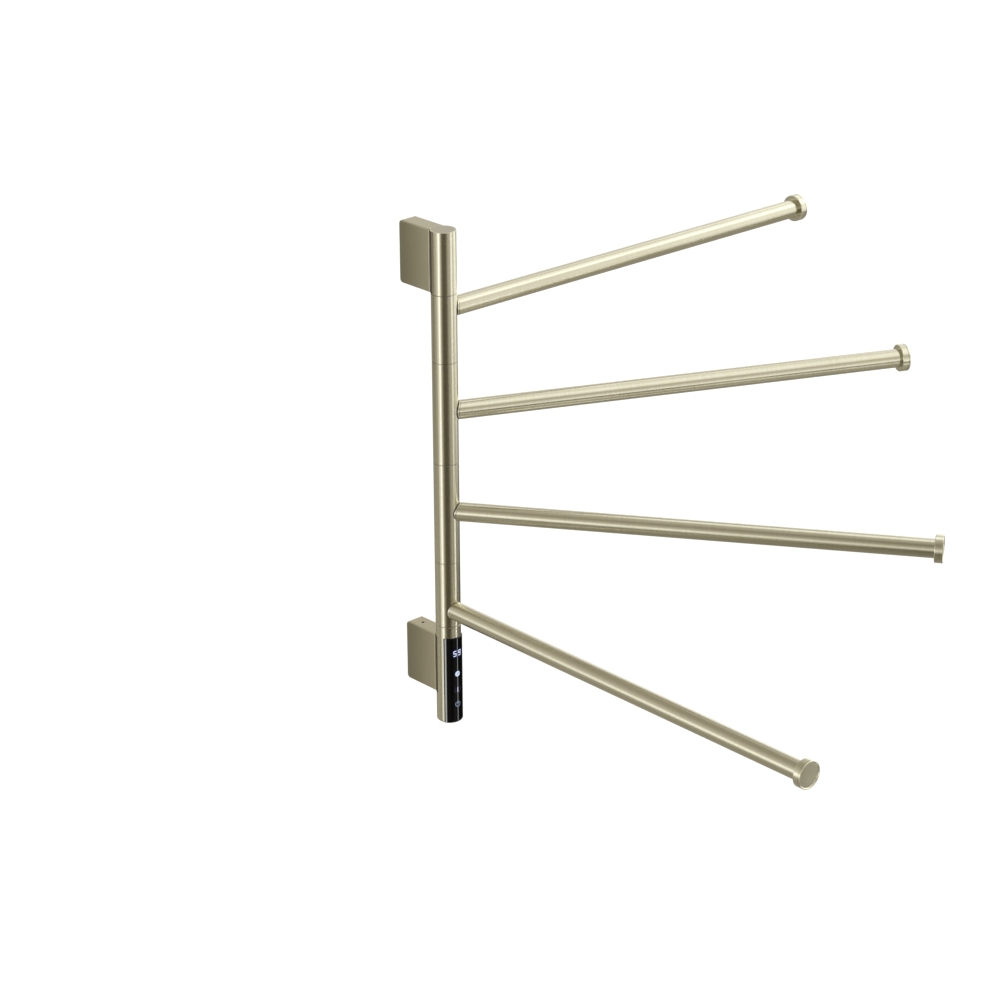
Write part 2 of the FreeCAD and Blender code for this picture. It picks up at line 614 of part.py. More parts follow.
def control_chassis():
    """The carrier in the housing: a collar for the spindle and a flat back for the board."""
    collar = upright_tube(POST_BORE, SPINDLE_RADIUS, CHASSIS_SHOULDER, CHASSIS_TOP)
    length = CHASSIS_SHOULDER - CHASSIS_BOTTOM
    back = rod(POST_BORE, Vector(0, 0, CHASSIS_BOTTOM), UP, length)
    front = box(POST_DIAMETER, POST_DIAMETER, length + 2 * OVERRUN,
                Vector(0, -POST_RADIUS - CHASSIS_FACE, CHASSIS_BOTTOM + length / 2))
    groove = rod(CHASSIS_GROOVE_DIAMETER / 2, Vector(0, -CHASSIS_FACE, CHASSIS_BOTTOM - OVERRUN), UP,
                 length + 2 * OVERRUN)
    shelf = rod(SPINDLE_RADIUS, Vector(0, 0, CHASSIS_SHOULDER), UP, OVERRUN)
    chassis = collar.fuse(back.cut(front).cut(groove)).cut(shelf)
    chassis = cut_bolt_holes(chassis, LOWER_BRACKET_LEVEL)
    return on_post(cut_cable_passage(chassis)).removeSplitter()


def board_face():
    """Distance from the post's axis to the front of the circuit board."""
    return CHASSIS_FACE + BOARD_THICKNESS


def control_board():
    """The circuit board on the chassis's flat."""
    high = PANEL_TOP - BOARD_END_GAP
    low = CHASSIS_BOTTOM + BOARD_END_GAP
    centre = Vector(0, -CHASSIS_FACE - BOARD_THICKNESS / 2, (low + high) / 2)
    return on_post(box(BOARD_WIDTH, BOARD_THICKNESS, high - low, centre))


def behind_panel(shape):
    """Trim a piece in front of the board so that it ends just behind the panel."""
    inner = POST_BORE + PANEL_INNER_FIT - PANEL_AIR
    return shape.common(rod(inner, Vector(0, 0, POST_BOTTOM), UP, CONTROL_LENGTH))


def display_module():
    """The two-digit display block behind the top of the panel."""
    depth = POST_BORE
    centre = Vector(0, -board_face() - depth / 2, DISPLAY_LEVEL)
    return on_post(behind_panel(box(DISPLAY_WIDTH, depth, DISPLAY_HEIGHT, centre)))


def light_guides():
    """A flanged clear rod behind each touch key."""
    guides = []
    for level in GUIDE_LEVELS:
        start = Vector(0, -board_face(), level)
        flange = rod(LIGHT_GUIDE_FLANGE_DIAMETER / 2, start, TO_ROOM, LIGHT_GUIDE_FLANGE)
        pillar = rod(LIGHT_GUIDE_DIAMETER / 2, start, TO_ROOM, POST_RADIUS)
        guides.append(behind_panel(pillar.fuse(flange)).removeSplitter())
    return on_post(group(guides))


# Supply entry

def cable_grommet():
    """A rubber grommet in the lower wall plate, for a cable out of the wall."""
    flange = GROMMET_FLANGE_DIAMETER / 2
    throat = GROMMET_HOLE_DIAMETER / 2
    bore = GROMMET_BORE / 2
    front = PLATE_THICKNESS + GROMMET_FLANGE
    grommet = lathe([(bore, 0), (throat, 0), (throat, PLATE_THICKNESS), (flange, PLATE_THICKNESS),
                     (flange, front), (bore, front)])
    grommet = grommet.rotate(ORIGIN, ALONG_WALL, WALL_AZIMUTH)
    return grommet.translate(UP * LOWER_BRACKET_LEVEL)


def terminal_block():
    """A screw terminal block between the lower bolt and the cable passage, on the pocket's floor."""
    low = LOWER_BRACKET_LEVEL - BRACKET_BOLT_OFFSET + BRACKET_BOLT_HEAD_DIAMETER / 2 + TERMINAL_GAP
    high = LOWER_BRACKET_LEVEL + CABLE_PASSAGE_RISE - CABLE_PASSAGE_DIAMETER / 2 - TERMINAL_GAP
    level = (low + high) / 2
    front = -POCKET_DEPTH
    centre_of_block = Vector(0, front + TERMINAL_DEPTH / 2, level)
    block = box(TERMINAL_WIDTH, TERMINAL_DEPTH, high - low, centre_of_block)
    pitch = (high - low) / TERMINAL_WAYS
    screw_radius = TERMINAL_SCREW_SHARE * pitch / 2
    for way in range(TERMINAL_WAYS):
        centre = level + (way - (TERMINAL_WAYS - 1) / 2) * pitch
        start = Vector(0, front + TERMINAL_DEPTH, centre)
        block = block.cut(rod(screw_radius, start, TO_ROOM, TERMINAL_SCREW_DEPTH))
    return block


# All pieces, by the name of their file

def fixed_pieces():
    """Pieces that stay on the wall."""
    bolts = [bracket_bolt(bolt_level) for level in (UPPER_BRACKET_LEVEL, LOWER_BRACKET_LEVEL)
             for bolt_level in bracket_bolt_levels(level)]
    grub_screws = [grub_screw(UPPER_BRACKET_LEVEL, -1), grub_screw(LOWER_BRACKET_LEVEL, 1)]
    return {
        "wall_plate_upper": wall_plate(UPPER_BRACKET_LEVEL, cable_hole=False),
        "wall_plate_lower": wall_plate(LOWER_BRACKET_LEVEL, cable_hole=True),
        "bracket_upper": bracket(UPPER_BRACKET_LEVEL, grub_side=-1, cable_passage=False),
        "bracket_lower": bracket(LOWER_BRACKET_LEVEL, grub_side=1, cable_passage=True),
        "bracket_grub_screws": group(grub_screws),
        "bracket_bolts": group(bolts),
        "post_top_tube": post_top_tube(),
        "post_top_cap": post_top_cap(),
        "top_core": top_core(),
        "spindle": spindle(),
        "spindle_nut": spindle_nut(),
        "stop_pins": stop_pins(),
        "seam_washers": seam_washers(),
        "lead_wires": lead_wires(),
        "control_housing": control_housing(),
        "panel_cover": panel_cover(),
        "foot_plug": foot_plug(),
        "control_chassis": control_chassis(),
        "control_board": control_board(),
        "display_module": display_module(),
        "light_guides": light_guides(),
        "cable_grommet": cable_grommet(),
        "terminal_block": terminal_block(),
    }


ARM_PIECES = {
    "hub_tube": hub_tube,
    "hub_bushes": hub_bushes,
    "hub_nut": hub_nut,
    "arm_spigot": arm_spigot,
    "saddle_ring": saddle_ring,
    "arm_tube": arm_tube,
    "end_cap": end_cap,
    "heating_rod": heating_rod,
    "rod_spacers": rod_spacers,
}


def all_pieces():
    """Every piece of the rack, by the name of its file."""
    pieces = fixed_pieces()
    for index in range(ARM_COUNT):
        for name, make in ARM_PIECES.items():
            pieces[f"{name}_{index + 1}"] = make(index)
    return pieces


os.makedirs("parts", exist_ok=True)
for piece_name, piece_shape in all_pieces().items():
    piece_shape.exportStep(os.path.join("parts", piece_name + ".step"))
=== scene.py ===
"""Looks of the heated towel rack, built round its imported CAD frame.

New pieces are modelled in millimetres about their own axis and placed in the frame, in metres.
"""

import json
import logging
import math
from collections.abc import Callable, Sequence
from dataclasses import dataclass
from enum import Enum
from functools import cache, partial
from typing import Optional

import bmesh
import bpy
from bmesh.types import BMesh, BMFace, BMVert
from bpy.types import ID, Material, Node, NodeSocket, NodeTree
from mathutils import Matrix, Vector


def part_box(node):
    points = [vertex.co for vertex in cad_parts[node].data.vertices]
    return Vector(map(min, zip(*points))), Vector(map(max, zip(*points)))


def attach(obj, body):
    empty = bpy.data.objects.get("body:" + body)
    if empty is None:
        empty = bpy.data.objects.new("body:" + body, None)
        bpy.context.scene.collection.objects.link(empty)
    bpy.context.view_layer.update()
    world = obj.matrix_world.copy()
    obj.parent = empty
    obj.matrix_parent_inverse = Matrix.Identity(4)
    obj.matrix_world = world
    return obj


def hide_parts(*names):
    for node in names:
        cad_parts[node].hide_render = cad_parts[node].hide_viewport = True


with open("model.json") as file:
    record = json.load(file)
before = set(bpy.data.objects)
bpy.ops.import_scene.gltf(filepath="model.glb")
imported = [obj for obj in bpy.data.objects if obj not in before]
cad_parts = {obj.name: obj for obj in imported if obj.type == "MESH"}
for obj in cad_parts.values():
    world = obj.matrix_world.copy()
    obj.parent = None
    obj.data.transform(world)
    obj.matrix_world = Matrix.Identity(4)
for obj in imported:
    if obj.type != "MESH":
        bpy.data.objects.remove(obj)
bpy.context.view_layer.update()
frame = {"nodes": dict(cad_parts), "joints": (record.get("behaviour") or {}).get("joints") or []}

LOG = logging.getLogger("towel_rack")
MM = 0.001
FULL_TURN = 2 * math.pi
QUARTER_TURN = math.pi / 2
MERGE_DISTANCE = 1e-4
SOFT_CORNER_ANGLE = math.radians(30)
POST_STEPS = 128
BAR_STEPS = 96
ORIGIN = (0, 0, 0)
UPWARD = (0, 0, 1)
Colour = tuple[float, float, float, float]
Adder = Callable[..., Node]


# Node and colour helpers

def linear(code: str) -> Colour:
    """Turn a colour linear.

    Args:
        code: The sRGB colour in hex.

    Returns:
        Its linear values with full alpha.
    """
    shares = [int(code[start:start + 2], 16) / 255 for start in (1, 3, 5)]
    values = [share / 12.92 if share <= 0.04045 else ((share + 0.055) / 1.055) ** 2.4 for share in shares]
    return (*values, 1.0)


def feed(node: Node, inputs: dict, links: dict) -> None:
    """Give a node its constants and links.

    Args:
        node: The node.
        inputs: Constant values by socket name or number.
        links: What feeds an input, by its name or number: a socket, or a node for its first output.
    """
    for key, value in inputs.items():
        node.inputs[key].default_value = value
    for key, source in links.items():
        socket = source.outputs[0] if isinstance(source, Node) else source
        node.id_data.links.new(socket, node.inputs[key])


def add_node(tree: NodeTree, kind: str, inputs: Optional[dict] = None, links: Optional[dict] = None,
             stops: Sequence[tuple[float, Colour]] = (), **settings) -> Node:
    """Add a node with its settings, constants and links.

    Args:
        tree: Node tree that it goes into.
        kind: Blender's name of the node type, after its "ShaderNode".
        inputs: Its constants, as feed takes them.
        links: Its links, as feed takes them.
        stops: Position and colour of each stop of a colour ramp, in order.
        settings: Plain properties of the node.

    Returns:
        The new node.
    """
    node = tree.nodes.new(f"ShaderNode{kind}")
    for key, value in settings.items():
        setattr(node, key, value)
    feed(node, inputs or {}, links or {})
    if stops:
        elements = node.color_ramp.elements
        while len(elements) < len(stops):
            elements.new(0.5)
        for element, (position, colour) in zip(elements, stops):
            element.position = position
            element.color = colour
    return node


def new_material(name: str) -> tuple[Material, Node, Adder]:
    """Start a node material.

    Args:
        name: What it is called.

    Returns:
        The material, its shader and a function that adds nodes to it.
    """
    material = bpy.data.materials.new(name)
    material.use_nodes = True
    tree = material.node_tree
    return material, tree.nodes["Principled BSDF"], partial(add_node, tree)


def new_object(name: str, data: ID) -> bpy.types.Object:
    """Put an object into the scene.

    Args:
        name: What it is called.
        data: Its mesh, lamp or camera.

    Returns:
        The object.
    """
    thing = bpy.data.objects.new(name, data)
    bpy.context.scene.collection.objects.link(thing)
    return thing


# Finishes

@dataclass(frozen=True)
class Finish:
    """A surface as its maker would name it, and what its shader starts from.

    The grain is the size in millimetres of one mark of the pattern along the piece's own x, y and z.
    A painted shade colour multiplies the coat of upright faces at the wall and is gone at the shade depth in
    front of it.
    """

    name: str
    colour: str
    shade: str
    metallic: float
    roughness: float
    grain: tuple[float, float, float]
    roughness_spread: float = 0.05
    relief: float = 0.01
    relief_strength: float = 0.3
    ior: float = 1.5
    coat: float = 0.0
    coat_roughness: float = 0.1
    transmission: float = 0.0
    painted_shade_depth: float = 0.0
    painted_shade_colour: str = "#FFFFFF"
    # Faint patches of tone over the grain, about 70 mm across
    patches_per_metre: float = 14.0
    patch_share: float = 0.45

    def material(self, heading: float = 0.0, centre: Vector = Vector(ORIGIN)) -> Material:
        """Build the finish as a node material.

        Args:
            heading: Turn of the pattern about the upright axis, in degrees.
            centre: Point in the frame that the pattern is measured from.

        Returns:
            The new material.
        """
        label = self.name if heading == 0.0 else f"{self.name} at {heading:.0f} degrees"
        material, shader, add = new_material(label)
        place = add("TexCoord").outputs["Object"]
        marks = add("Mapping", {"Location": centre, "Rotation": (0, 0, math.radians(heading)),
                                "Scale": [size * MM for size in self.grain]},
                    {"Vector": place}, vector_type="TEXTURE")
        fine = add("TexNoise", {"Scale": 1.0, "Detail": 3.0, "Roughness": 0.6}, {"Vector": marks})
        patches = add("TexNoise", {"Scale": self.patches_per_metre, "Detail": 2.0}, {"Vector": place})
        tone = add("Math", {1: self.patch_share}, {0: patches, 2: fine}, operation="MULTIPLY_ADD")
        share = add("MapRange", {"From Min": 0.45, "From Max": 1.0}, {"Value": tone})
        coat = add("Mix", {6: linear(self.colour), 7: linear(self.shade)}, {0: share},
                   data_type="RGBA").outputs[2]
        if self.painted_shade_depth:
            coat = self.paint_wall_shade(add, place, coat)
        roughness = add("MapRange", {"From Min": 0.3, "From Max": 0.7,
                                     "To Min": self.roughness - self.roughness_spread,
                                     "To Max": self.roughness + self.roughness_spread}, {"Value": fine})
        relief = add("Bump", {"Strength": self.relief_strength, "Distance": self.relief * MM},
                     {"Height": fine})
        feed(shader, {"Metallic": self.metallic, "Coat Weight": self.coat,
                      "Coat Roughness": self.coat_roughness, "Transmission Weight": self.transmission},
             {"Base Color": coat, "Roughness": roughness, "Normal": relief})
        if self.metallic < 1:
            shader.inputs["IOR"].default_value = self.ior
        return material

    def paint_wall_shade(self, add: Adder, place: NodeSocket, coat: NodeSocket) -> NodeSocket:
        """Darken the coat of upright faces towards the wall: painted shade.

        Args:
            add: Adds a node to the material.
            place: Object coordinates.
            coat: The coat's colour so far.

        Returns:
            The deepened colour.
        """
        depth = add("SeparateXYZ", links={0: place})
        facing = add("SeparateXYZ", links={0: add("TexCoord").outputs["Normal"]})
        lying = add("Math", links={0: facing.outputs["Z"]}, operation="ABSOLUTE")
        upright = add("Math", {0: 1.0}, {1: lying}, operation="SUBTRACT")
        near = add("MapRange", {"From Min": -self.painted_shade_depth * MM, "From Max": 0.0},
                   {"Value": depth.outputs["Y"], "To Max": upright}, interpolation_type="SMOOTHSTEP")
        shaded_coat = add("Mix", {7: linear(self.painted_shade_colour)}, {0: near, 6: coat},
                     data_type="RGBA", blend_type="MULTIPLY")
        return shaded_coat.outputs[2]


# Stainless tube, belt-brushed round its girth and coated champagne gold. The real brush marks are about
# 0.1 mm wide and are drawn 1 mm wide, as finer ones vanish in the picture.
BRUSHED_POST = Finish(
    "brushed champagne steel, post", "#D3CEB7", "#CAC4AB", 1.0, 0.21, (26, 26, 1.0), roughness_spread=0.03,
    relief=0.012, relief_strength=0.25, coat=0.15, coat_roughness=0.12)
BRUSHED_ARM = Finish(
    "brushed champagne steel, arm", "#D3CEB7", "#CAC4AB", 1.0, 0.21, (1.0, 22, 22), roughness_spread=0.025,
    relief_strength=0.12, coat=0.15, coat_roughness=0.12)
# The end stops and root rings are turned bars, so their marks are rings about the arm's axis
# Their colour is a shade lighter than the arm's: painted light on the stops and rings
TURNED_STOP = Finish(
    "turned champagne steel", "#DAD6BE", "#D1CCB3", 1.0, 0.2, (0.7, 18, 18), roughness_spread=0.03,
    relief=0.008, relief_strength=0.2, coat=0.15, coat_roughness=0.12)
# The disc in the post's mouth is a shade darker and rougher than the tube: the darker colour is painted
# shade on its upward face
SHADED_TOP_DISC = Finish(
    "blasted champagne disc", "#BBB7A1", "#AEA993", 1.0, 0.3, (1.0, 9, 9), relief=0.012,
    coat=0.1, coat_roughness=0.2)
# Slab brackets, cast, ground flat and brushed upright, then coated as the tubes are: a soft satin sheen
# Their upright faces are darkened towards the wall, darkest at the wall: painted shade.
SATIN_BRACKET = Finish(
    "satin champagne bracket", "#C4BDA3", "#B8B095", 1.0, 0.34, (1.2, 1.2, 34), relief=0.012,
    relief_strength=0.25, coat=0.1, coat_roughness=0.25, painted_shade_depth=62, painted_shade_colour="#C9C8C4")
# Steel bent from sheet and zinc plated: cool grey with a faint cloudy bloom
ZINC_PLATE = Finish("zinc plated steel", "#C5C9CC", "#AEB4BA", 1.0, 0.34, (3, 3, 3), roughness_spread=0.08)
# Black oxide on an alloy steel screw: dark, oily, slightly blue
BLACK_OXIDE = Finish("black oxide steel", "#2A2B2E", "#1C1D20", 1.0, 0.42, (0.6, 0.6, 0.6))
# Turned aluminium sleeve with fine tool rings along its axis
TURNED_ALUMINIUM = Finish("turned aluminium", "#DADBDD", "#C6C8CB", 1.0, 0.30, (12, 12, 0.4))
# Black acetal bush and washer stock: waxy and slightly soft in its highlight
BLACK_ACETAL = Finish("moulded black acetal", "#26262A", "#1D1D20", 0.0, 0.38, (1.5, 1.5, 1.5), ior=1.48)
# Free-cutting brass, turned and left bare
TURNED_BRASS = Finish("turned brass", "#D9BE78", "#C7A95F", 1.0, 0.28, (8, 8, 0.4))
# Cold drawn stainless sheath of a cartridge heater: grey with long die lines
DRAWN_SHEATH = Finish("drawn heater sheath", "#B4B1AB", "#9C9992", 1.0, 0.36, (30, 0.8, 0.8))
# Silicone rubber, moulded: dull, with a powdery bloom
SILICONE = Finish("moulded silicone", "#55565A", "#4A4B4F", 0.0, 0.65, (2, 2, 2), ior=1.43)
# Extruded silicone wire insulation in brick red
WIRE_RED = Finish("extruded wire insulation", "#A83A30", "#8F2D25", 0.0, 0.5, (1, 1, 6), ior=1.43)
# Solder mask over a glass fibre board, whose weave of 0.5 mm just prints through
BOARD_GREEN = Finish(
    "green solder mask", "#1F6B45", "#185738", 0.0, 0.32, (0.5, 0.5, 0.5), ior=1.55, coat=0.3)
# Moulded display block and terminal body, spark-eroded texture
DARK_NYLON = Finish("moulded black nylon", "#2B2B2D", "#232325", 0.0, 0.48, (0.8, 0.8, 0.8), ior=1.53)
# Dark bead between bracket and post, standing for the shade in the crease there: painted shade
CREASE_SHADE_BEAD = Finish("bronze rubber bead", "#3A352A", "#302C23", 0.0, 0.55, (1.5, 1.5, 1.5), ior=1.45)
# Diamond-polished acrylic rod
CLEAR_ROD = Finish(
    "polished clear acrylic", "#F1F6FA", "#E6EFF6", 0.0, 0.04, (4, 4, 4), roughness_spread=0.01,
    relief=0.002, ior=1.49, transmission=1.0)
# The panel's long edges, pencil-round, with a pale, dull band along each
PALE_PANEL_EDGE = Finish("pale panel edge band", "#A9ABA6", "#979A97", 0.0, 0.5, (1, 1, 8), ior=1.49)


@dataclass(frozen=True)
class PanelGloss:
    """Polished black acrylic with the faint blue-violet haze of the lit digits and key behind it."""

    colour: str = "#08080B"
    haze: str = "#30358C"
    haze_strength: float = 0.16
    haze_size: tuple[float, float, float] = (9.0, 40.0, 7.5)
    roughness: float = 0.05
    wiped_roughness: float = 0.08
    # Orange peel of a moulded sheet: waves of about 6 mm, two microns deep
    waves_per_metre: float = 160.0
    wave_depth: float = 0.002

    def material(self, front: Vector) -> Material:
        """Build the gloss.

        Args:
            front: Point on the panel that the haze is centred on.

        Returns:
            The new material.
        """
        material, shader, add = new_material("polished black acrylic")
        place = add("TexCoord").outputs["Object"]
        peel = add("TexNoise", {"Scale": self.waves_per_metre, "Detail": 1.0}, {"Vector": place})
        relief = add("Bump", {"Strength": 0.1, "Distance": self.wave_depth * MM}, {"Height": peel})
        wipe = add("MapRange", {"To Min": self.roughness, "To Max": self.wiped_roughness}, {"Value": peel})
        about = add("Mapping", {"Location": front, "Scale": [size * MM for size in self.haze_size]},
                    {"Vector": place}, vector_type="TEXTURE")
        away = add("VectorMath", links={0: about}, operation="LENGTH").outputs["Value"]
        glow = add("MapRange", {"From Min": 0.2, "From Max": 1.3, "To Min": self.haze_strength,
                                "To Max": 0.0}, {"Value": away}, interpolation_type="SMOOTHSTEP")
        feed(shader, {"Base Color": linear(self.colour), "IOR": 1.49, "Emission Color": linear(self.haze)},
             {"Emission Strength": glow, "Roughness": wipe, "Normal": relief})
        return material


@dataclass(frozen=True)
class LitInk:
    """Light through a cut-out in the panel's black print, slightly uneven as a light guide leaves it."""

    name: str
    colour: str
    strength: float
    unevenness: float = 0.15
    clouds_per_metre: float = 420.0

    def material(self) -> Material:
        """Build the lit ink."""
        material, shader, add = new_material(self.name)
        cloud = add("TexNoise", {"Scale": self.clouds_per_metre, "Detail": 1.0},
                    {"Vector": add("TexCoord").outputs["Object"]})
        level = add("MapRange", {"To Min": self.strength * (1 - self.unevenness),
                                 "To Max": self.strength * (1 + self.unevenness)}, {"Value": cloud})
        feed(shader, {"Base Color": linear("#0C0C10"), "Roughness": 0.08,
                      "Emission Color": linear(self.colour)}, {"Emission Strength": level})
        return material


@cache
def plain(finish: Finish) -> Material:
    """Build a finish once, with its pattern measured from the frame's origin."""
    return finish.material()


# Mesh helpers

@dataclass(frozen=True)
class Corner:
    """A corner of a turned outline: distance from the axis, height along it and its rounding."""

    radius: float
    height: float
    rounding: float = 0.0
    steps: int = 3


@cache
def span(node: str) -> tuple[float, float]:
    """Heights of a CAD node's lower and upper end, in millimetres."""
    low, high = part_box(node)
    return low.z / MM, high.z / MM


def tube(bore: float, radius: float, low: float, high: float, low_edge: float = 0.0,
         high_edge: float = 0.0) -> list[Corner]:
    """Outline of a tube, or of a disc where the bore is 0.

    Args:
        bore: Inner radius.
        radius: Outer radius.
        low: Height of its lower end.
        high: Height of its upper end.
        low_edge: Rounding of the lower outer edge.
        high_edge: Rounding of the upper outer edge.

    Returns:
        The outline's corners in order.
    """
    return [Corner(bore, low), Corner(radius, low, low_edge), Corner(radius, high, high_edge),
            Corner(bore, high)]


def outline(mesh: BMesh, corners: list[Corner]) -> None:
    """Draw a closed outline as one face beside the Z axis, with its corners rounded.

    Args:
        mesh: Where it is drawn.
        corners: Its corners in order.
    """
    dots = [bmesh.ops.create_vert(mesh, co=(corner.radius, 0, corner.height))["vert"][0]
            for corner in corners]
    mesh.faces.new(dots)
    for dot, corner in zip(dots, corners):
        if corner.rounding:
            bmesh.ops.bevel(mesh, geom=[dot], offset=corner.rounding, offset_type="OFFSET",
                            segments=corner.steps, profile=0.5, affect="VERTICES", material=-1)


def turned(corners: list[Corner], steps: int = POST_STEPS) -> BMesh:
    """Turn a closed outline a full turn about the Z axis, as on a lathe.

    Args:
        corners: The outline's corners in order.
        steps: Number of facets round the axis.

    Returns:
        The closed shape.
    """
    mesh = bmesh.new()
    outline(mesh, corners)
    bmesh.ops.delete(mesh, geom=mesh.faces[:], context="FACES_ONLY")
    on_axis = [edge for edge in mesh.edges if all(vert.co.x < MERGE_DISTANCE for vert in edge.verts)]
    bmesh.ops.delete(mesh, geom=on_axis, context="EDGES")
    bmesh.ops.spin(mesh, geom=mesh.verts[:] + mesh.edges[:], cent=ORIGIN, axis=UPWARD, angle=FULL_TURN,
                   steps=steps, use_merge=True)
    bmesh.ops.remove_doubles(mesh, verts=mesh.verts, dist=MERGE_DISTANCE)
    return mesh


def raise_faces(mesh: BMesh, faces: list[BMFace], height: float) -> None:
    """Give flat faces a thickness along Z.

    Args:
        mesh: Where they are.
        faces: The faces.
        height: The thickness.
    """
    raised = bmesh.ops.extrude_face_region(mesh, geom=faces, use_keep_orig=True)["geom"]
    bmesh.ops.translate(mesh, vec=(0, 0, height),
                        verts=[item for item in raised if isinstance(item, BMVert)])


class Slot(Enum):
    """The record's material slots, as names that new pieces carry."""

    STEEL = "champagne_steel"
    ACETAL = "acetal"
    NYLON = "black_nylon"
    GLOSS = "panel_gloss_black"
    LEGEND = "lit_legend"


@dataclass
class Piece:
    """A new piece and the CAD node that it stands for. It is the post's brushed steel unless told."""

    name: str
    node: str = ""
    materials: Sequence[Material] = ()
    slot: Slot = Slot.STEEL
    body: str = "post"
    edge: float = 0.0
    edge_steps: int = 2

    def settle(self, mesh: BMesh, place: Matrix) -> None:
        """Put a finished shape in the frame as a piece, at the origin with its place in its mesh.

        Args:
            mesh: The shape, in millimetres about its own axis. It is freed.
            place: Where its own axis stands in the frame, in metres.
        """
        bmesh.ops.remove_doubles(mesh, verts=mesh.verts, dist=MERGE_DISTANCE)
        bmesh.ops.recalc_face_normals(mesh, faces=mesh.faces)
        bmesh.ops.transform(mesh, matrix=place @ Matrix.Scale(MM, 4), verts=mesh.verts)
        data = bpy.data.meshes.new(self.name)
        mesh.to_mesh(data)
        mesh.free()
        data.shade_smooth()
        data.set_sharp_from_angle(angle=SOFT_CORNER_ANGLE)
        for material in self.materials or [plain(BRUSHED_POST)]:
            data.materials.append(material)
        piece = new_object(self.name, data)
        if self.edge:
            soften = piece.modifiers.new("soft edges", "BEVEL")
            soften.width = self.edge * MM
            soften.segments = self.edge_steps
            soften.limit_method = "ANGLE"
            soften.angle_limit = SOFT_CORNER_ANGLE
        # The large faces set the normals at their edges, so that a straight tube mirrors straight
        even = piece.modifiers.new("even normals", "WEIGHTED_NORMAL")
        even.keep_sharp = True
        even.weight = 100
        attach(piece, self.body)
        if self.node:
            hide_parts(self.node)
        LOG.info("%s: %d faces, rides on %s, stands for %s", self.name, len(data.polygons), self.body,
                 self.node or "no node")


# Sub-assemblies. All sizes are in millimetres

@dataclass
class PostPart:
    """What the post's sub-assemblies share: its tube, its touch panel's face and its axis."""

    radius: float = 16.0
    wall: float = 1.5
    panel_radius: float = 17.4
    # Each sleeve reaches this far over its CAD tube's end, to leave a finer seam
    seam_reach: float = 0.15

    @property
    def bore(self) -> float:
        """Inner radius of the post's tube."""
        return self.radius - self.wall

    @property
    def post_place(self) -> Matrix:
        """The post's axis in the frame."""
        return Matrix.Translation((0, frame["joints"][0]["pos_m"][1], 0))


@dataclass
class PostTop(PostPart):
    """The fixed sleeve above the hubs and the flat disc set into its mouth."""

    end_rounding: float = 0.2
    disc_thickness: float = 4.0
    disc_rounding: float = 0.3

    def build(self) -> None:
        """Build the sleeve and the disc."""
        low, high = span("post_top_tube")
        sleeve = turned(tube(self.bore, self.radius, low - self.seam_reach, high, self.end_rounding,
                             self.end_rounding))
        Piece("top_sleeve", "post_top_tube").settle(sleeve, self.post_place)
        disc = turned(tube(0, self.bore, high - self.disc_thickness, high, 0.0, self.disc_rounding))
        Piece("top_disc", "post_top_cap", [plain(SHADED_TOP_DISC)]).settle(disc, self.post_place)


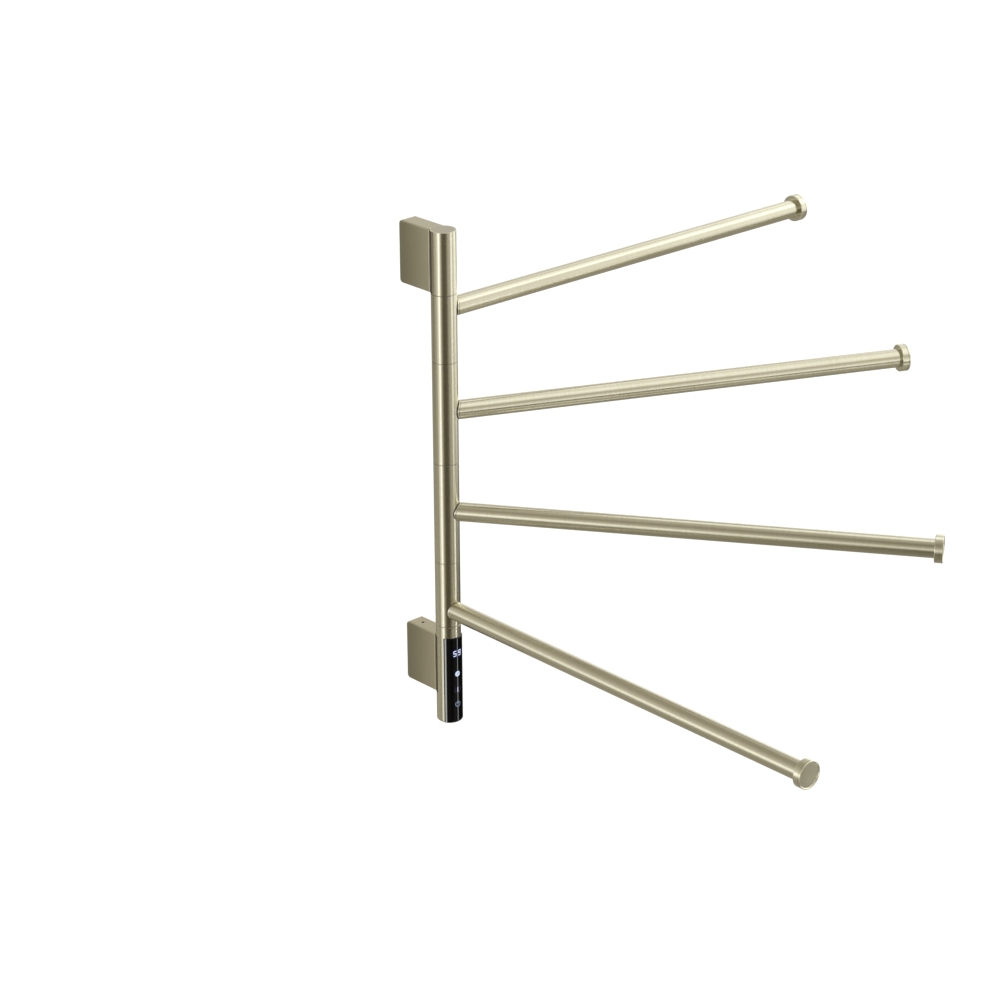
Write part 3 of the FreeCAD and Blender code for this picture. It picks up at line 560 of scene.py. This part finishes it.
@dataclass
class SwingArm(PostPart):
    """One hub sleeve of the post with its bar, root ring and end stop."""

    number: int = 1
    sleeve_rounding: float = 0.1
    bar_radius: float = 12.0
    bar_wall: float = 1.2
    reach: float = 616.0
    shadow_gap: float = 1.0
    ring_width: float = 1.5
    ring_rounding: float = 0.35
    ring_groove: float = 0.35
    shade_ring_play: float = 0.1
    shade_ring_inset: float = 0.2
    root_rounding: float = 0.2
    stop_radius: float = 17.5
    stop_length: float = 10.5
    stop_edge: float = 0.8
    stop_rim: float = 1.1
    stop_rim_outer_edge: float = 0.5
    stop_rim_inner_edge: float = 0.25
    stop_dish: float = 1.3
    stop_dish_slope: float = 0.15
    stop_dish_rounding: float = 0.9
    stop_face: float = 2.2
    groove_width: float = 0.5
    groove_depth: float = 0.6
    groove_lip: float = 0.12

    @property
    def body(self) -> str:
        """The CAD body that the arm's pieces ride on."""
        return f"arm_{self.number}"

    @property
    def joint(self) -> dict:
        """The arm's hinge in the record."""
        return next(joint for joint in frame["joints"] if joint["child"] == self.body)

    @property
    def heading(self) -> float:
        """Direction of the bar at rest, in degrees from the wall's +X."""
        return -self.joint["range_deg"][1]

    def build(self) -> None:
        """Build the sleeve, then the bar from its root to its stop."""
        node = f"hub_tube_{self.number}"
        low, high = span(node)
        sleeve = turned(tube(self.bore, self.radius, low - self.seam_reach, high + self.seam_reach,
                             self.sleeve_rounding, self.sleeve_rounding))
        Piece(f"hub_sleeve_{self.number}", node, body=self.body).settle(sleeve, self.post_place)
        centre = Vector(self.joint["pos_m"])
        stop_steel = TURNED_STOP.material(self.heading, centre)
        bore = self.bar_radius - self.bar_wall
        shade_ring_radius = self.bar_radius - self.shade_ring_inset
        ring_near = self.radius + self.shadow_gap
        ring_far = ring_near + self.ring_width
        root = ring_far + self.ring_groove
        # A black ring fills the gap between the sleeve and the ring as painted shade: it shows as a shadow
        # line there
        self.add("root_shade_ring", tube(bore, shade_ring_radius, self.radius + self.shade_ring_play, root),
                 plain(BLACK_ACETAL), self.reach, slot=Slot.ACETAL)
        self.add("root_ring", tube(shade_ring_radius, self.bar_radius, ring_near, ring_far, self.ring_rounding,
                                   self.ring_rounding), stop_steel, self.reach, "saddle_ring")
        self.add("arm_bar", tube(bore, self.bar_radius, root, self.reach - self.stop_length,
                                 self.root_rounding),
                 BRUSHED_ARM.material(self.heading, centre), root + self.bar_radius, "arm_tube")
        self.add("end_stop", self.stop_outline(), stop_steel, 0.0, "end_cap")

    def stop_outline(self) -> list[Corner]:
        """Outline of the round stop at the bar's end: a band, a fine groove and a dished face."""
        band = self.stop_radius
        near = self.reach - self.stop_length
        face = self.reach - self.stop_face
        groove = face - self.groove_width
        floor = band - self.groove_depth
        rim = band - self.stop_rim
        dish = self.reach - self.stop_dish
        return [Corner(0, near), Corner(band, near, self.stop_edge, 4),
                Corner(band, groove, self.groove_lip, 2), Corner(floor, groove), Corner(floor, face),
                Corner(band, face, self.groove_lip, 2), Corner(band, self.reach, self.stop_rim_outer_edge),
                Corner(rim, self.reach, self.stop_rim_inner_edge),
                Corner(rim - self.stop_dish_slope, dish, self.stop_dish_rounding, 4), Corner(0, dish)]

    def add(self, name: str, corners: list[Corner], material: Material, saddle: float,
            node: str = "", slot: Slot = Slot.STEEL) -> None:
        """Turn an outline about the bar's axis, whose heights run out along it, and put it on the arm.

        Args:
            name: The piece's name without its number.
            corners: The outline's corners in order.
            material: Its finish.
            saddle: Loops nearer to the post's axis than this are bent round the post.
            node: Name without number of the CAD node that it stands for, if there is one.
            slot: Its material slot.
        """
        mesh = turned(corners, BAR_STEPS)
        bmesh.ops.rotate(mesh, verts=mesh.verts, cent=ORIGIN, matrix=Matrix.Rotation(QUARTER_TURN, 3, "Y"))
        for vert in mesh.verts:
            if vert.co.x < saddle:
                vert.co.x = math.sqrt(vert.co.x ** 2 - vert.co.y ** 2)
        place = Matrix.Translation(self.joint["pos_m"]) @ Matrix.Rotation(math.radians(self.heading), 4, "Z")
        stands_for = f"{node}_{self.number}" if node else ""
        Piece(f"{name}_{self.number}", stands_for, [material], slot, self.body).settle(mesh, place)


@dataclass
class ControlEnd(PostPart):
    """The fixed sleeve at the post's foot, its glossy touch panel and the foot disc."""

    foot_rounding: float = 3.0
    foot_steps: int = 8
    foot_floor: float = 3.0
    disc_radius: float = 12.0
    disc_rounding: float = 0.4
    back_steps: int = 82
    window_steps: int = 46
    window_edge: float = 0.3
    panel_half_angle: float = 64.0
    panel_fit: float = 0.2
    panel_foot: float = 2.4
    panel_pencil: float = 3.5
    panel_pencil_drop: float = 1.3
    panel_black_edge: float = 1.5
    panel_corner: float = 2.0
    panel_edge: float = 0.2
    panel_steps: int = 128

    def build(self) -> None:
        """Build the control end's pieces."""
        self.build_sleeve()
        disc = turned(tube(0, self.disc_radius, *span("foot_plug"), self.disc_rounding))
        Piece("foot_disc", "foot_plug").settle(disc, self.post_place)
        self.build_panel()

    def build_sleeve(self) -> None:
        """Build the sleeve: a full ring above, and a shell open in front for the panel below."""
        low, high = span("control_housing")
        high += self.seam_reach
        window_top = span("panel_cover")[1] + self.panel_fit
        half = math.radians(self.panel_half_angle) + self.panel_fit / self.radius
        mesh = bmesh.new()
        floor = low + self.foot_floor
        spots = [(self.disc_radius, low), (self.radius, low), (self.radius, window_top),
                 (self.bore, window_top), (self.bore, floor), (self.disc_radius, floor),
                 (self.radius, high), (self.bore, high)]
        dots = [bmesh.ops.create_vert(mesh, co=(radius, 0, height))["vert"][0] for radius, height in spots]
        mesh.faces.new(dots[:6])
        mesh.faces.new([dots[3], dots[2], dots[6], dots[7]])
        bmesh.ops.bevel(mesh, geom=[dots[1]], offset=self.foot_rounding, offset_type="OFFSET",
                        segments=self.foot_steps, profile=0.5, affect="VERTICES", material=-1)
        bmesh.ops.rotate(mesh, verts=mesh.verts, cent=ORIGIN,
                         matrix=Matrix.Rotation(half - QUARTER_TURN, 3, "Z"))
        first_ring = next(face for face in mesh.faces if len(face.verts) == 4)
        back = bmesh.ops.spin(mesh, geom=mesh.faces[:] + mesh.edges[:] + mesh.verts[:], cent=ORIGIN,
                              axis=UPWARD, angle=FULL_TURN - 2 * half, steps=self.back_steps)
        last_ring = next(item for item in back["geom_last"]
                         if isinstance(item, BMFace) and len(item.verts) == 4)
        bridge = bmesh.ops.spin(mesh, geom=[last_ring, *last_ring.edges, *last_ring.verts], cent=ORIGIN,
                                axis=UPWARD, angle=2 * half, steps=self.window_steps)
        inside = [first_ring] if first_ring.is_valid else []
        inside += [item for item in bridge["geom_last"] if isinstance(item, BMFace)]
        bmesh.ops.delete(mesh, geom=inside, context="FACES_ONLY")
        bmesh.ops.remove_doubles(mesh, verts=mesh.verts, dist=MERGE_DISTANCE * 10)
        Piece("control_sleeve", "control_housing", edge=self.window_edge).settle(mesh, self.post_place)

    def build_panel(self) -> None:
        """Build the touch panel: a curved shell with a round foot and pencil-ground long edges."""
        low, high = span("panel_cover")
        bore = self.bore + self.panel_fit
        mesh = bmesh.new()
        outline(mesh, [Corner(bore, low), Corner(self.panel_radius, low, self.panel_foot, self.foot_steps),
                       Corner(self.panel_radius, high), Corner(bore, high)])
        half = math.radians(self.panel_half_angle)
        bmesh.ops.rotate(mesh, verts=mesh.verts, cent=ORIGIN,
                         matrix=Matrix.Rotation(-QUARTER_TURN - half, 3, "Z"))
        bmesh.ops.spin(mesh, geom=mesh.faces[:] + mesh.edges[:] + mesh.verts[:], cent=ORIGIN, axis=UPWARD,
                       angle=2 * half, steps=self.panel_steps)
        for vert in mesh.verts:
            self.ease_edge(vert, low, high)
        for face in mesh.faces:
            middle = face.calc_center_median()
            face.material_index = int(self.panel_black_edge < self.from_edge(middle) < self.panel_pencil
                                      and middle.xy.length > bore + self.wall / 2)
        front = self.post_place @ (Vector((0, -self.panel_radius, LitSigns().level(0))) * MM)
        Piece("touch_panel", "panel_cover", [PanelGloss().material(front), PALE_PANEL_EDGE.material()],
              Slot.GLOSS, edge=self.panel_edge).settle(mesh, self.post_place)

    def from_edge(self, point: Vector) -> float:
        """Distance of a point of the panel from the nearer long edge, measured round the face."""
        return (math.radians(self.panel_half_angle) - abs(math.atan2(point.x, -point.y))) * self.panel_radius

    def ease_edge(self, vert: BMVert, low: float, high: float) -> None:
        """Move one vertex of the panel so that its long edges are pencil-round and its corners soft.

        Args:
            vert: The vertex.
            low: Height of the panel's lower end.
            high: Height of its upper end.
        """
        reach = vert.co.xy.length
        from_edge = max(self.from_edge(vert.co), 0.0)
        if from_edge < self.panel_pencil and reach > self.radius:
            drop = self.panel_pencil_drop * (1 - from_edge / self.panel_pencil) ** 2
            vert.co.xy *= (reach - drop) / reach
        if from_edge < self.panel_corner:
            inward = self.panel_corner - from_edge
            rise = self.panel_corner - math.sqrt(self.panel_corner ** 2 - inward ** 2)
            vert.co.z = min(max(vert.co.z, low + rise), high - rise)


@dataclass
class CreaseShadeBead(PostPart):
    """A dark bead on each side of a bracket's end, in the crease beside the post: painted shade for the
    crease.
    """

    inset: float = 0.4
    # Across and back from the post's axis, from the bracket's side round the bead's outside to the post
    outside: tuple[tuple[float, float], ...] = ((12.0, 11.1), (13.4, 9.45), (14.8, 6.95))
    touching: tuple[float, ...] = (15.5, 14.0, 12.0)

    def build(self, bracket: str) -> None:
        """Build both beads of one bracket.

        Args:
            bracket: The bracket's node.
        """
        low, high = span(bracket)
        inside = [(across, math.sqrt(self.radius ** 2 - across ** 2)) for across in self.touching]
        mesh = bmesh.new()
        for side in (-1, 1):
            dots = [bmesh.ops.create_vert(mesh, co=(side * across, back, low + self.inset))["vert"][0]
                    for across, back in (*self.outside, *inside)]
            raise_faces(mesh, [mesh.faces.new(dots)], high - low - 2 * self.inset)
        name = bracket.replace("bracket", "crease_shade")
        Piece(name, "", [plain(CREASE_SHADE_BEAD)], Slot.NYLON).settle(mesh, self.post_place)


# Signs on the panel

class Segment(Enum):
    """The seven bars of a lit digit: centre in its half widths and half heights, and whether it lies."""

    TOP = (0, 1, True)
    UPPER_LEFT = (-1, 0.5, False)
    UPPER_RIGHT = (1, 0.5, False)
    MIDDLE = (0, 0, True)
    LOWER_LEFT = (-1, -0.5, False)
    LOWER_RIGHT = (1, -0.5, False)
    BOTTOM = (0, -1, True)


FIVE = (Segment.TOP, Segment.UPPER_LEFT, Segment.MIDDLE, Segment.LOWER_RIGHT, Segment.BOTTOM)
NINE = tuple(segment for segment in Segment if segment is not Segment.LOWER_LEFT)


@dataclass(frozen=True)
class Stroke:
    """A flat bar of a sign: its centre, length, width and its turn from lying across, in radians."""

    middle: tuple[float, float]
    length: float
    width: float
    turn: float = 0.0


@dataclass(frozen=True)
class Ring:
    """A flat ring of a sign, or a disc where the inner radius is 0, and its gap on top in degrees."""

    inner: float
    outer: float
    gap: float = 0.0


@dataclass
class LitSigns(PostPart):
    """The digits and the three key signs that shine through the panel."""

    proud: float = 0.03
    thickness: float = 0.05
    side_shift: float = -0.75
    # Heights of the signs, as shares of the panel's length from its top
    level_shares: tuple[float, float, float, float] = (0.175, 0.419, 0.607, 0.778)
    digit_width: float = 3.7
    digit_height: float = 6.7
    digit_stroke: float = 0.85
    digit_overlap: float = 0.55
    digit_pitch: float = 7.2
    slant: float = 0.1
    tip_share: float = 0.42
    ring_steps: int = 48
    key_disc: Ring = Ring(0.0, 3.7)
    hands: tuple[Stroke, ...] = (Stroke((0.9, 0.9), 2.8, 0.9, 0.15), Stroke((-0.3, 0.0), 3.2, 0.9, 0.9))
    level_bar: Stroke = Stroke((0, 0), 7.4, 1.3, QUARTER_TURN)
    level_ring: Ring = Ring(4.34, 4.9, 50.0)
    power_bar: Stroke = Stroke((0, 2.325), 4.4, 1.3, QUARTER_TURN)
    power_ring: Ring = Ring(3.1, 3.9, 70.0)

    def level(self, index: int) -> float:
        """Height of a sign in millimetres, counted down from the panel's top."""
        low, high = span("panel_cover")
        return high - self.level_shares[index] * (high - low)

    def draw_bar(self, mesh: BMesh, stroke: Stroke) -> None:
        """Draw a flat bar with pointed ends, fine enough to be wrapped.

        Args:
            mesh: Where it is drawn.
            stroke: The bar.
        """
        grid = bmesh.ops.create_grid(mesh, x_segments=6, y_segments=2, size=0.5)["verts"]
        for vert in grid:
            # The two outer corners of each end are drawn in, and the middle stays out as its tip
            corner = abs(vert.co.x) > 0.49 and abs(vert.co.y) > 0.1
            vert.co.x *= stroke.length
            vert.co.y *= stroke.width
            if corner:
                vert.co.x -= math.copysign(stroke.width * self.tip_share, vert.co.x)
        place = Matrix.Translation((*stroke.middle, 0)) @ Matrix.Rotation(stroke.turn, 4, "Z")
        bmesh.ops.transform(mesh, matrix=place, verts=grid)

    def draw_ring(self, mesh: BMesh, ring: Ring, steps: int = 4) -> None:
        """Draw a flat ring or disc.

        Args:
            mesh: Where it is drawn.
            ring: The ring.
            steps: Number of faces across it.
        """
        gap = math.radians(ring.gap)
        dots = [bmesh.ops.create_vert(mesh, co=(0, ring.inner + (ring.outer - ring.inner) * step / steps, 0))
                ["vert"][0] for step in range(steps + 1)]
        edges = [mesh.edges.new(pair) for pair in zip(dots, dots[1:])]
        bmesh.ops.rotate(mesh, verts=dots, cent=ORIGIN, matrix=Matrix.Rotation(gap / 2, 3, "Z"))
        bmesh.ops.spin(mesh, geom=dots + edges, cent=ORIGIN, axis=UPWARD, angle=FULL_TURN - gap,
                       steps=self.ring_steps, use_merge=gap == 0.0)

    def add(self, name: str, index: int, ink: LitInk, strokes: Sequence[Stroke] = (),
            ring: Optional[Ring] = None, lift: float = 0.0, offset: float = 0.0, slant: float = 0.0) -> None:
        """Draw one sign flat, give it its thickness and lay it round the panel.

        Args:
            name: Its piece's name.
            index: Its place on the panel, counted from the top.
            ink: Its light.
            strokes: Its bars.
            ring: Its ring or disc.
            lift: Extra distance from the panel.
            offset: Shift to the right.
            slant: Lean to the right, as a share of its height.
        """
        mesh = bmesh.new()
        if ring:
            self.draw_ring(mesh, ring)
        for stroke in strokes:
            self.draw_bar(mesh, stroke)
        for vert in mesh.verts:
            vert.co.x += offset + slant * vert.co.y
        bmesh.ops.remove_doubles(mesh, verts=mesh.verts, dist=MERGE_DISTANCE)
        raise_faces(mesh, mesh.faces[:], self.thickness)
        for vert in mesh.verts:
            across, up, out = vert.co
            angle = (across + self.side_shift) / self.panel_radius
            reach = self.panel_radius + self.proud + lift + out
            vert.co = (reach * math.sin(angle), -reach * math.cos(angle), self.level(index) + up)
        Piece(name, "", [ink.material()], Slot.LEGEND).settle(mesh, self.post_place)

    def digit(self, lit: tuple[Segment, ...]) -> list[Stroke]:
        """The bars of one digit.

        Args:
            lit: Its lit segments.

        Returns:
            Its bars, about its own centre.
        """
        bars = []
        for across, up, lying in (segment.value for segment in lit):
            middle = (across * self.digit_width / 2, up * self.digit_height / 2)
            length = self.digit_width if lying else self.digit_height / 2
            bars.append(Stroke(middle, length + self.digit_stroke * self.digit_overlap, self.digit_stroke,
                               0.0 if lying else QUARTER_TURN))
        return bars

    def build(self) -> None:
        """Build the two digits and the three key signs."""
        digits = LitInk("lit digits", "#D9E2FF", 1.5)
        self.add("digit_tens", 0, digits, self.digit(FIVE), offset=-self.digit_pitch / 2, slant=self.slant)
        self.add("digit_ones", 0, digits, self.digit(NINE), offset=self.digit_pitch / 2, slant=self.slant)
        self.add("timer_key", 1, LitInk("lit timer key", "#D6E4FF", 0.95), ring=self.key_disc)
        self.add("timer_hands", 1, LitInk("print on the timer key", "#5F78B4", 0.55), self.hands,
                 lift=self.thickness)
        self.add("level_bar", 2, LitInk("lit level bar", "#C9CCE8", 0.75), (self.level_bar,))
        self.add("level_ring", 2, LitInk("dim level ring", "#6A6384", 0.3), ring=self.level_ring)
        self.add("power_sign", 3, LitInk("lit power sign", "#A9C4E4", 0.6), (self.power_bar,),
                 self.power_ring)


Dressing = tuple[tuple[Finish, tuple[str, ...]], ...]


@dataclass
class KeptNodes:
    """CAD nodes whose shape is right as it is: the brackets and what is held inside."""

    brackets: tuple[str, ...] = ("bracket_upper", "bracket_lower")
    inner: Dressing = (
        (ZINC_PLATE, ("wall_plate_upper", "wall_plate_lower", "bracket_bolts", "spindle", "spindle_nut",
                      "stop_pins")),
        (BLACK_OXIDE, ("bracket_grub_screws",)), (TURNED_ALUMINIUM, ("top_core",)),
        (BLACK_ACETAL, ("seam_washers",)), (WIRE_RED, ("lead_wires",)), (BOARD_GREEN, ("control_board",)),
        (DARK_NYLON, ("control_chassis", "display_module", "terminal_block")),
        (CLEAR_ROD, ("light_guides",)), (SILICONE, ("cable_grommet",)))
    in_each_arm: Dressing = (
        (BLACK_ACETAL, ("hub_bushes",)), (TURNED_BRASS, ("hub_nut", "arm_spigot")),
        (DRAWN_SHEATH, ("heating_rod",)), (SILICONE, ("rod_spacers",)))

    def build(self) -> None:
        """Give the kept nodes their finishes."""
        arms = len(frame["joints"])
        self.dress(SATIN_BRACKET, self.brackets)
        for finish, names in self.inner:
            self.dress(finish, names)
        for finish, names in self.in_each_arm:
            self.dress(finish, [f"{name}_{number}" for name in names for number in range(1, arms + 1)])

    def dress(self, finish: Finish, names: Sequence[str]) -> None:
        """Give CAD nodes a finish in all their slots.

        Args:
            finish: The finish.
            names: The nodes.
        """
        for name in names:
            for slot in frame["nodes"][name].material_slots:
                slot.material = plain(finish)
            LOG.info("%s: CAD node in %s", name, finish.name)


# Studio: what the metal mirrors, floor, lamp and camera

@dataclass(frozen=True)
class Softbox:
    """A soft-edged light or dark flag of the studio, in degrees from the camera's side of the rack.

    A negative strength takes light away.
    """

    azimuth: float
    elevation: float
    half_width: float
    half_height: float
    softness: float
    strength: float
    height_softness: float = 8.0


@dataclass
class Studio:
    """The plain studio round the rack. Its places are in metres and its angles in degrees."""

    lens: float = 110.65
    sensor: float = 36.0
    camera_place: tuple[float, float, float] = (-2.3470, -2.7012, 1.1737)
    heading: float = -42.78
    pitch: float = 67.145
    roll: float = -0.35
    floor_level: float = -1.45
    floor_half: float = 14.0
    # The camera alone sees the floor this much brighter
    floor_lift: Colour = (0.13, 0.13, 0.13, 1)
    fill: float = 0.8
    least_light: float = 0.02
    lamp_strength: float = 0.9
    lamp_spread: float = 24
    lamp_tilt: tuple[float, float] = (8, -24)
    # Brightness all round by elevation: floor, horizon, walls, ceiling
    sweep: tuple[tuple[float, float], ...] = (
        (-90, 0.30), (-50, 0.42), (-25, 0.34), (-10, 0.47), (5, 1.07), (20, 0.75), (50, 0.4), (90, 0.7))
    # Colour of the light by its brightness: dim light is warm, the lamps are a touch cool
    tints: tuple[tuple[float, str], ...] = (
        (0.05, "#FFF3C7"), (0.3, "#FFF8E4"), (0.9, "#FFFDF8"), (1.5, "#F9FCFF"))
    boxes: tuple[Softbox, ...] = (
        Softbox(-54, -4, 26, 8.5, 17, 1.0, 6),  # wide softbox on the left
        Softbox(-106, -16, 10, 3, 10, -0.18, 4),  # dark flag beside it
        Softbox(-41, -22, 2.0, 20, 9.5, 1.35, 7),  # tall strip beside it
        Softbox(-36, -14, 3, 4, 7, 0.5, 2.5),  # brighter part of that strip
        Softbox(-55, -31, 7.5, 7, 7, 0.85),  # its patch on the floor
        Softbox(-108, -28, 20, 4.5, 10, 0.17, 3),  # pale card far left
        Softbox(71, -13, 3.5, 4, 9.5, 1.2, 2.5),  # short strip on the right
        Softbox(76, -20.8, 3.5, 1.5, 9.5, 1.2, 2.5),  # its lower end
        Softbox(69, -26, 23, 23, 8, 0.19, 7),  # pale wall behind that strip
        Softbox(128, 14, 24, 28, 29, 1.4, 3),  # the main softbox, large and far right
        Softbox(114, -18, 7, 3.2, 18, 1.1, 1.5),  # its glint, low down
        Softbox(125, -25, 25, 2.7, 15, -0.22, 1.2),  # shadow under the glint
        Softbox(36, -7, 8, 4, 7, 0.95, 4),  # low lamp right of the camera
        Softbox(38, -34, 10, 4, 8, 0.65, 3),  # its patch on the floor
        Softbox(71, 56, 58, 5.5, 24, 1.0, 24),  # bank of ceiling lamps
        Softbox(172, 63, 13, 13, 16, 1.0, 6),  # lamp above and behind
        Softbox(44, -76, 22, 8, 16, 1.25, 7),  # white card on the floor
        Softbox(8, 2, 18, 78, 14, -0.28, 22),  # black flag beside the camera
        Softbox(8, -30, 18, 6, 12, 0.03, 4),  # floor in front of it
        Softbox(95, -26.2, 65, 1.0, 20, -0.4, 1.2),  # long dark flag, which the panel mirrors
        Softbox(80.5, -26.2, 2, 1.2, 3.5, 4.2, 1.2),  # slit of light in it
        Softbox(76, -24.4, 10, 0.8, 8, -0.5, 0.8))  # dark rail above the slit

    def build(self) -> None:
        """Build the world, floor, lamp and camera."""
        self.build_world()
        self.build_floor()
        self.build_lamp()
        self.build_camera()
        bpy.context.scene.view_settings.view_transform = "Standard"
        LOG.info("studio: world, floor, lamp and camera")

    def build_world(self) -> None:
        """Build the world: white for the camera, even fill, and softboxes and flags for the metal."""
        world = bpy.data.worlds.new("studio")
        bpy.context.scene.world = world
        world.use_nodes = True
        add = partial(add_node, world.node_tree)
        way = add("TexCoord").outputs["Generated"]
        turn = math.radians(self.heading)
        aside, ahead = (add("VectorMath", {1: side}, {0: way}, operation="DOT_PRODUCT").outputs["Value"]
                        for side in ((math.cos(turn), math.sin(turn), 0),
                                     (math.sin(turn), -math.cos(turn), 0)))
        azimuth = add("Math", links={0: add("Math", links={0: aside, 1: ahead}, operation="ARCTAN2")},
                      operation="DEGREES")
        height = add("SeparateXYZ", links={0: way}).outputs["Z"]
        elevation = add("Math", links={0: add("Math", links={0: height}, operation="ARCSINE")},
                        operation="DEGREES")
        share = add("MapRange", {"From Min": -90.0, "From Max": 90.0}, {"Value": elevation})
        total = add("ValToRGB", links={"Fac": share}, stops=[
            ((rise + 90) / 180, (level, level, level, 1)) for rise, level in self.sweep])
        for box in self.boxes:
            total = self.add_box(add, box, azimuth, elevation, total)
        level = add("Math", {1: self.least_light}, {0: total}, operation="MAXIMUM")
        brightest = self.tints[-1][0]
        warmth = add("MapRange", {"From Max": brightest}, {"Value": level})
        tint = add("ValToRGB", links={"Fac": warmth}, stops=[
            (strength / brightest, linear(code)) for strength, code in self.tints])
        mirrored = add("VectorMath", links={0: tint, "Scale": level}, operation="SCALE")
        path = add("LightPath").outputs
        shiny = add("Math", links={0: path["Is Glossy Ray"], 1: path["Is Transmission Ray"]},
                    operation="MAXIMUM")
        even = (self.fill, self.fill, self.fill, 1)
        lit = add("Mix", {6: even}, {0: shiny, 7: mirrored}, data_type="RGBA")
        seen = add("Mix", {7: (1, 1, 1, 1)}, {0: path["Is Camera Ray"], 6: lit.outputs[2]}, data_type="RGBA")
        feed(world.node_tree.nodes["Background"], {}, {"Color": seen.outputs[2]})

    def add_box(self, add: Adder, box: Softbox, azimuth: Node, elevation: Node, total: Node) -> Node:
        """Add one softbox or flag to the light so far.

        Args:
            add: Adds a node to the world.
            box: The softbox.
            azimuth: Direction in degrees from the camera's side.
            elevation: Height in degrees.
            total: The light so far.

        Returns:
            The light with the softbox.
        """
        masks = []
        for angle, middle, half, softness in (
                (azimuth, box.azimuth, box.half_width, box.softness),
                (elevation, box.elevation, box.half_height, box.height_softness)):
            off = add("Math", {1: middle}, {0: angle}, operation="SUBTRACT")
            near = add("Math", {1: 180.0, 2: -180.0}, {0: off}, operation="WRAP")
            away = add("Math", links={0: near}, operation="ABSOLUTE")
            masks.append(add(
                "MapRange", {"From Min": half, "From Max": half + softness, "To Min": 1.0, "To Max": 0.0},
                {"Value": away}, interpolation_type="SMOOTHSTEP"))
        both = add("Math", links={0: masks[0], 1: masks[1]}, operation="MULTIPLY")
        return add("Math", {1: box.strength}, {0: both, 2: total}, operation="MULTIPLY_ADD")

    def build_floor(self) -> None:
        """Build the pale floor, which the mirror-like steel doesn't see."""
        mesh = bmesh.new()
        bmesh.ops.create_grid(mesh, x_segments=1, y_segments=1, size=self.floor_half)
        bmesh.ops.translate(mesh, verts=mesh.verts, vec=(0, 0, self.floor_level))
        data = bpy.data.meshes.new("floor")
        mesh.to_mesh(data)
        mesh.free()
        floor = new_object("floor", data)
        floor.visible_glossy = False
        material, paint, add = new_material("pale floor")
        feed(paint, {"Base Color": linear("#F3F3F1"), "Roughness": 0.9, "Specular IOR Level": 0.0}, {})
        lift = add("Emission", {"Color": self.floor_lift}, {"Strength": add("LightPath")})
        both = add("AddShader", links={0: paint, 1: lift})
        feed(material.node_tree.nodes["Material Output"], {}, {"Surface": both})
        data.materials.append(material)

    def build_lamp(self) -> None:
        """Build one large soft lamp overhead, which the steel doesn't mirror."""
        lamp = bpy.data.lights.new("overhead lamp", "SUN")
        lamp.energy = self.lamp_strength
        lamp.angle = math.radians(self.lamp_spread)
        stand = new_object("overhead lamp", lamp)
        stand.visible_glossy = False
        stand.rotation_euler = [math.radians(angle) for angle in (*self.lamp_tilt, self.heading)]

    def build_camera(self) -> None:
        """Build the camera at the photograph's angle."""
        data = bpy.data.cameras.new("camera")
        data.lens = self.lens
        data.sensor_width = self.sensor
        data.clip_start = 0.05
        data.clip_end = 60.0
        camera = new_object("camera", data)
        camera.matrix_world = (Matrix.Translation(self.camera_place)
                               @ Matrix.Rotation(math.radians(self.heading), 4, "Z")
                               @ Matrix.Rotation(math.radians(self.pitch), 4, "X")
                               @ Matrix.Rotation(math.radians(self.roll), 4, "Z"))
        bpy.context.scene.camera = camera


def main() -> None:
    """Build the rack's pieces and the studio in order."""
    logging.basicConfig(level=logging.INFO, format="%(name)s: %(message)s")
    PostTop().build()
    for number in range(1, len(frame["joints"]) + 1):
        SwingArm(number=number).build()
    ControlEnd().build()
    LitSigns().build()
    for bracket in KeptNodes().brackets:
        CreaseShadeBead().build(bracket)
    KeptNodes().build()
    Studio().build()


if __name__ == "__main__":
    main()
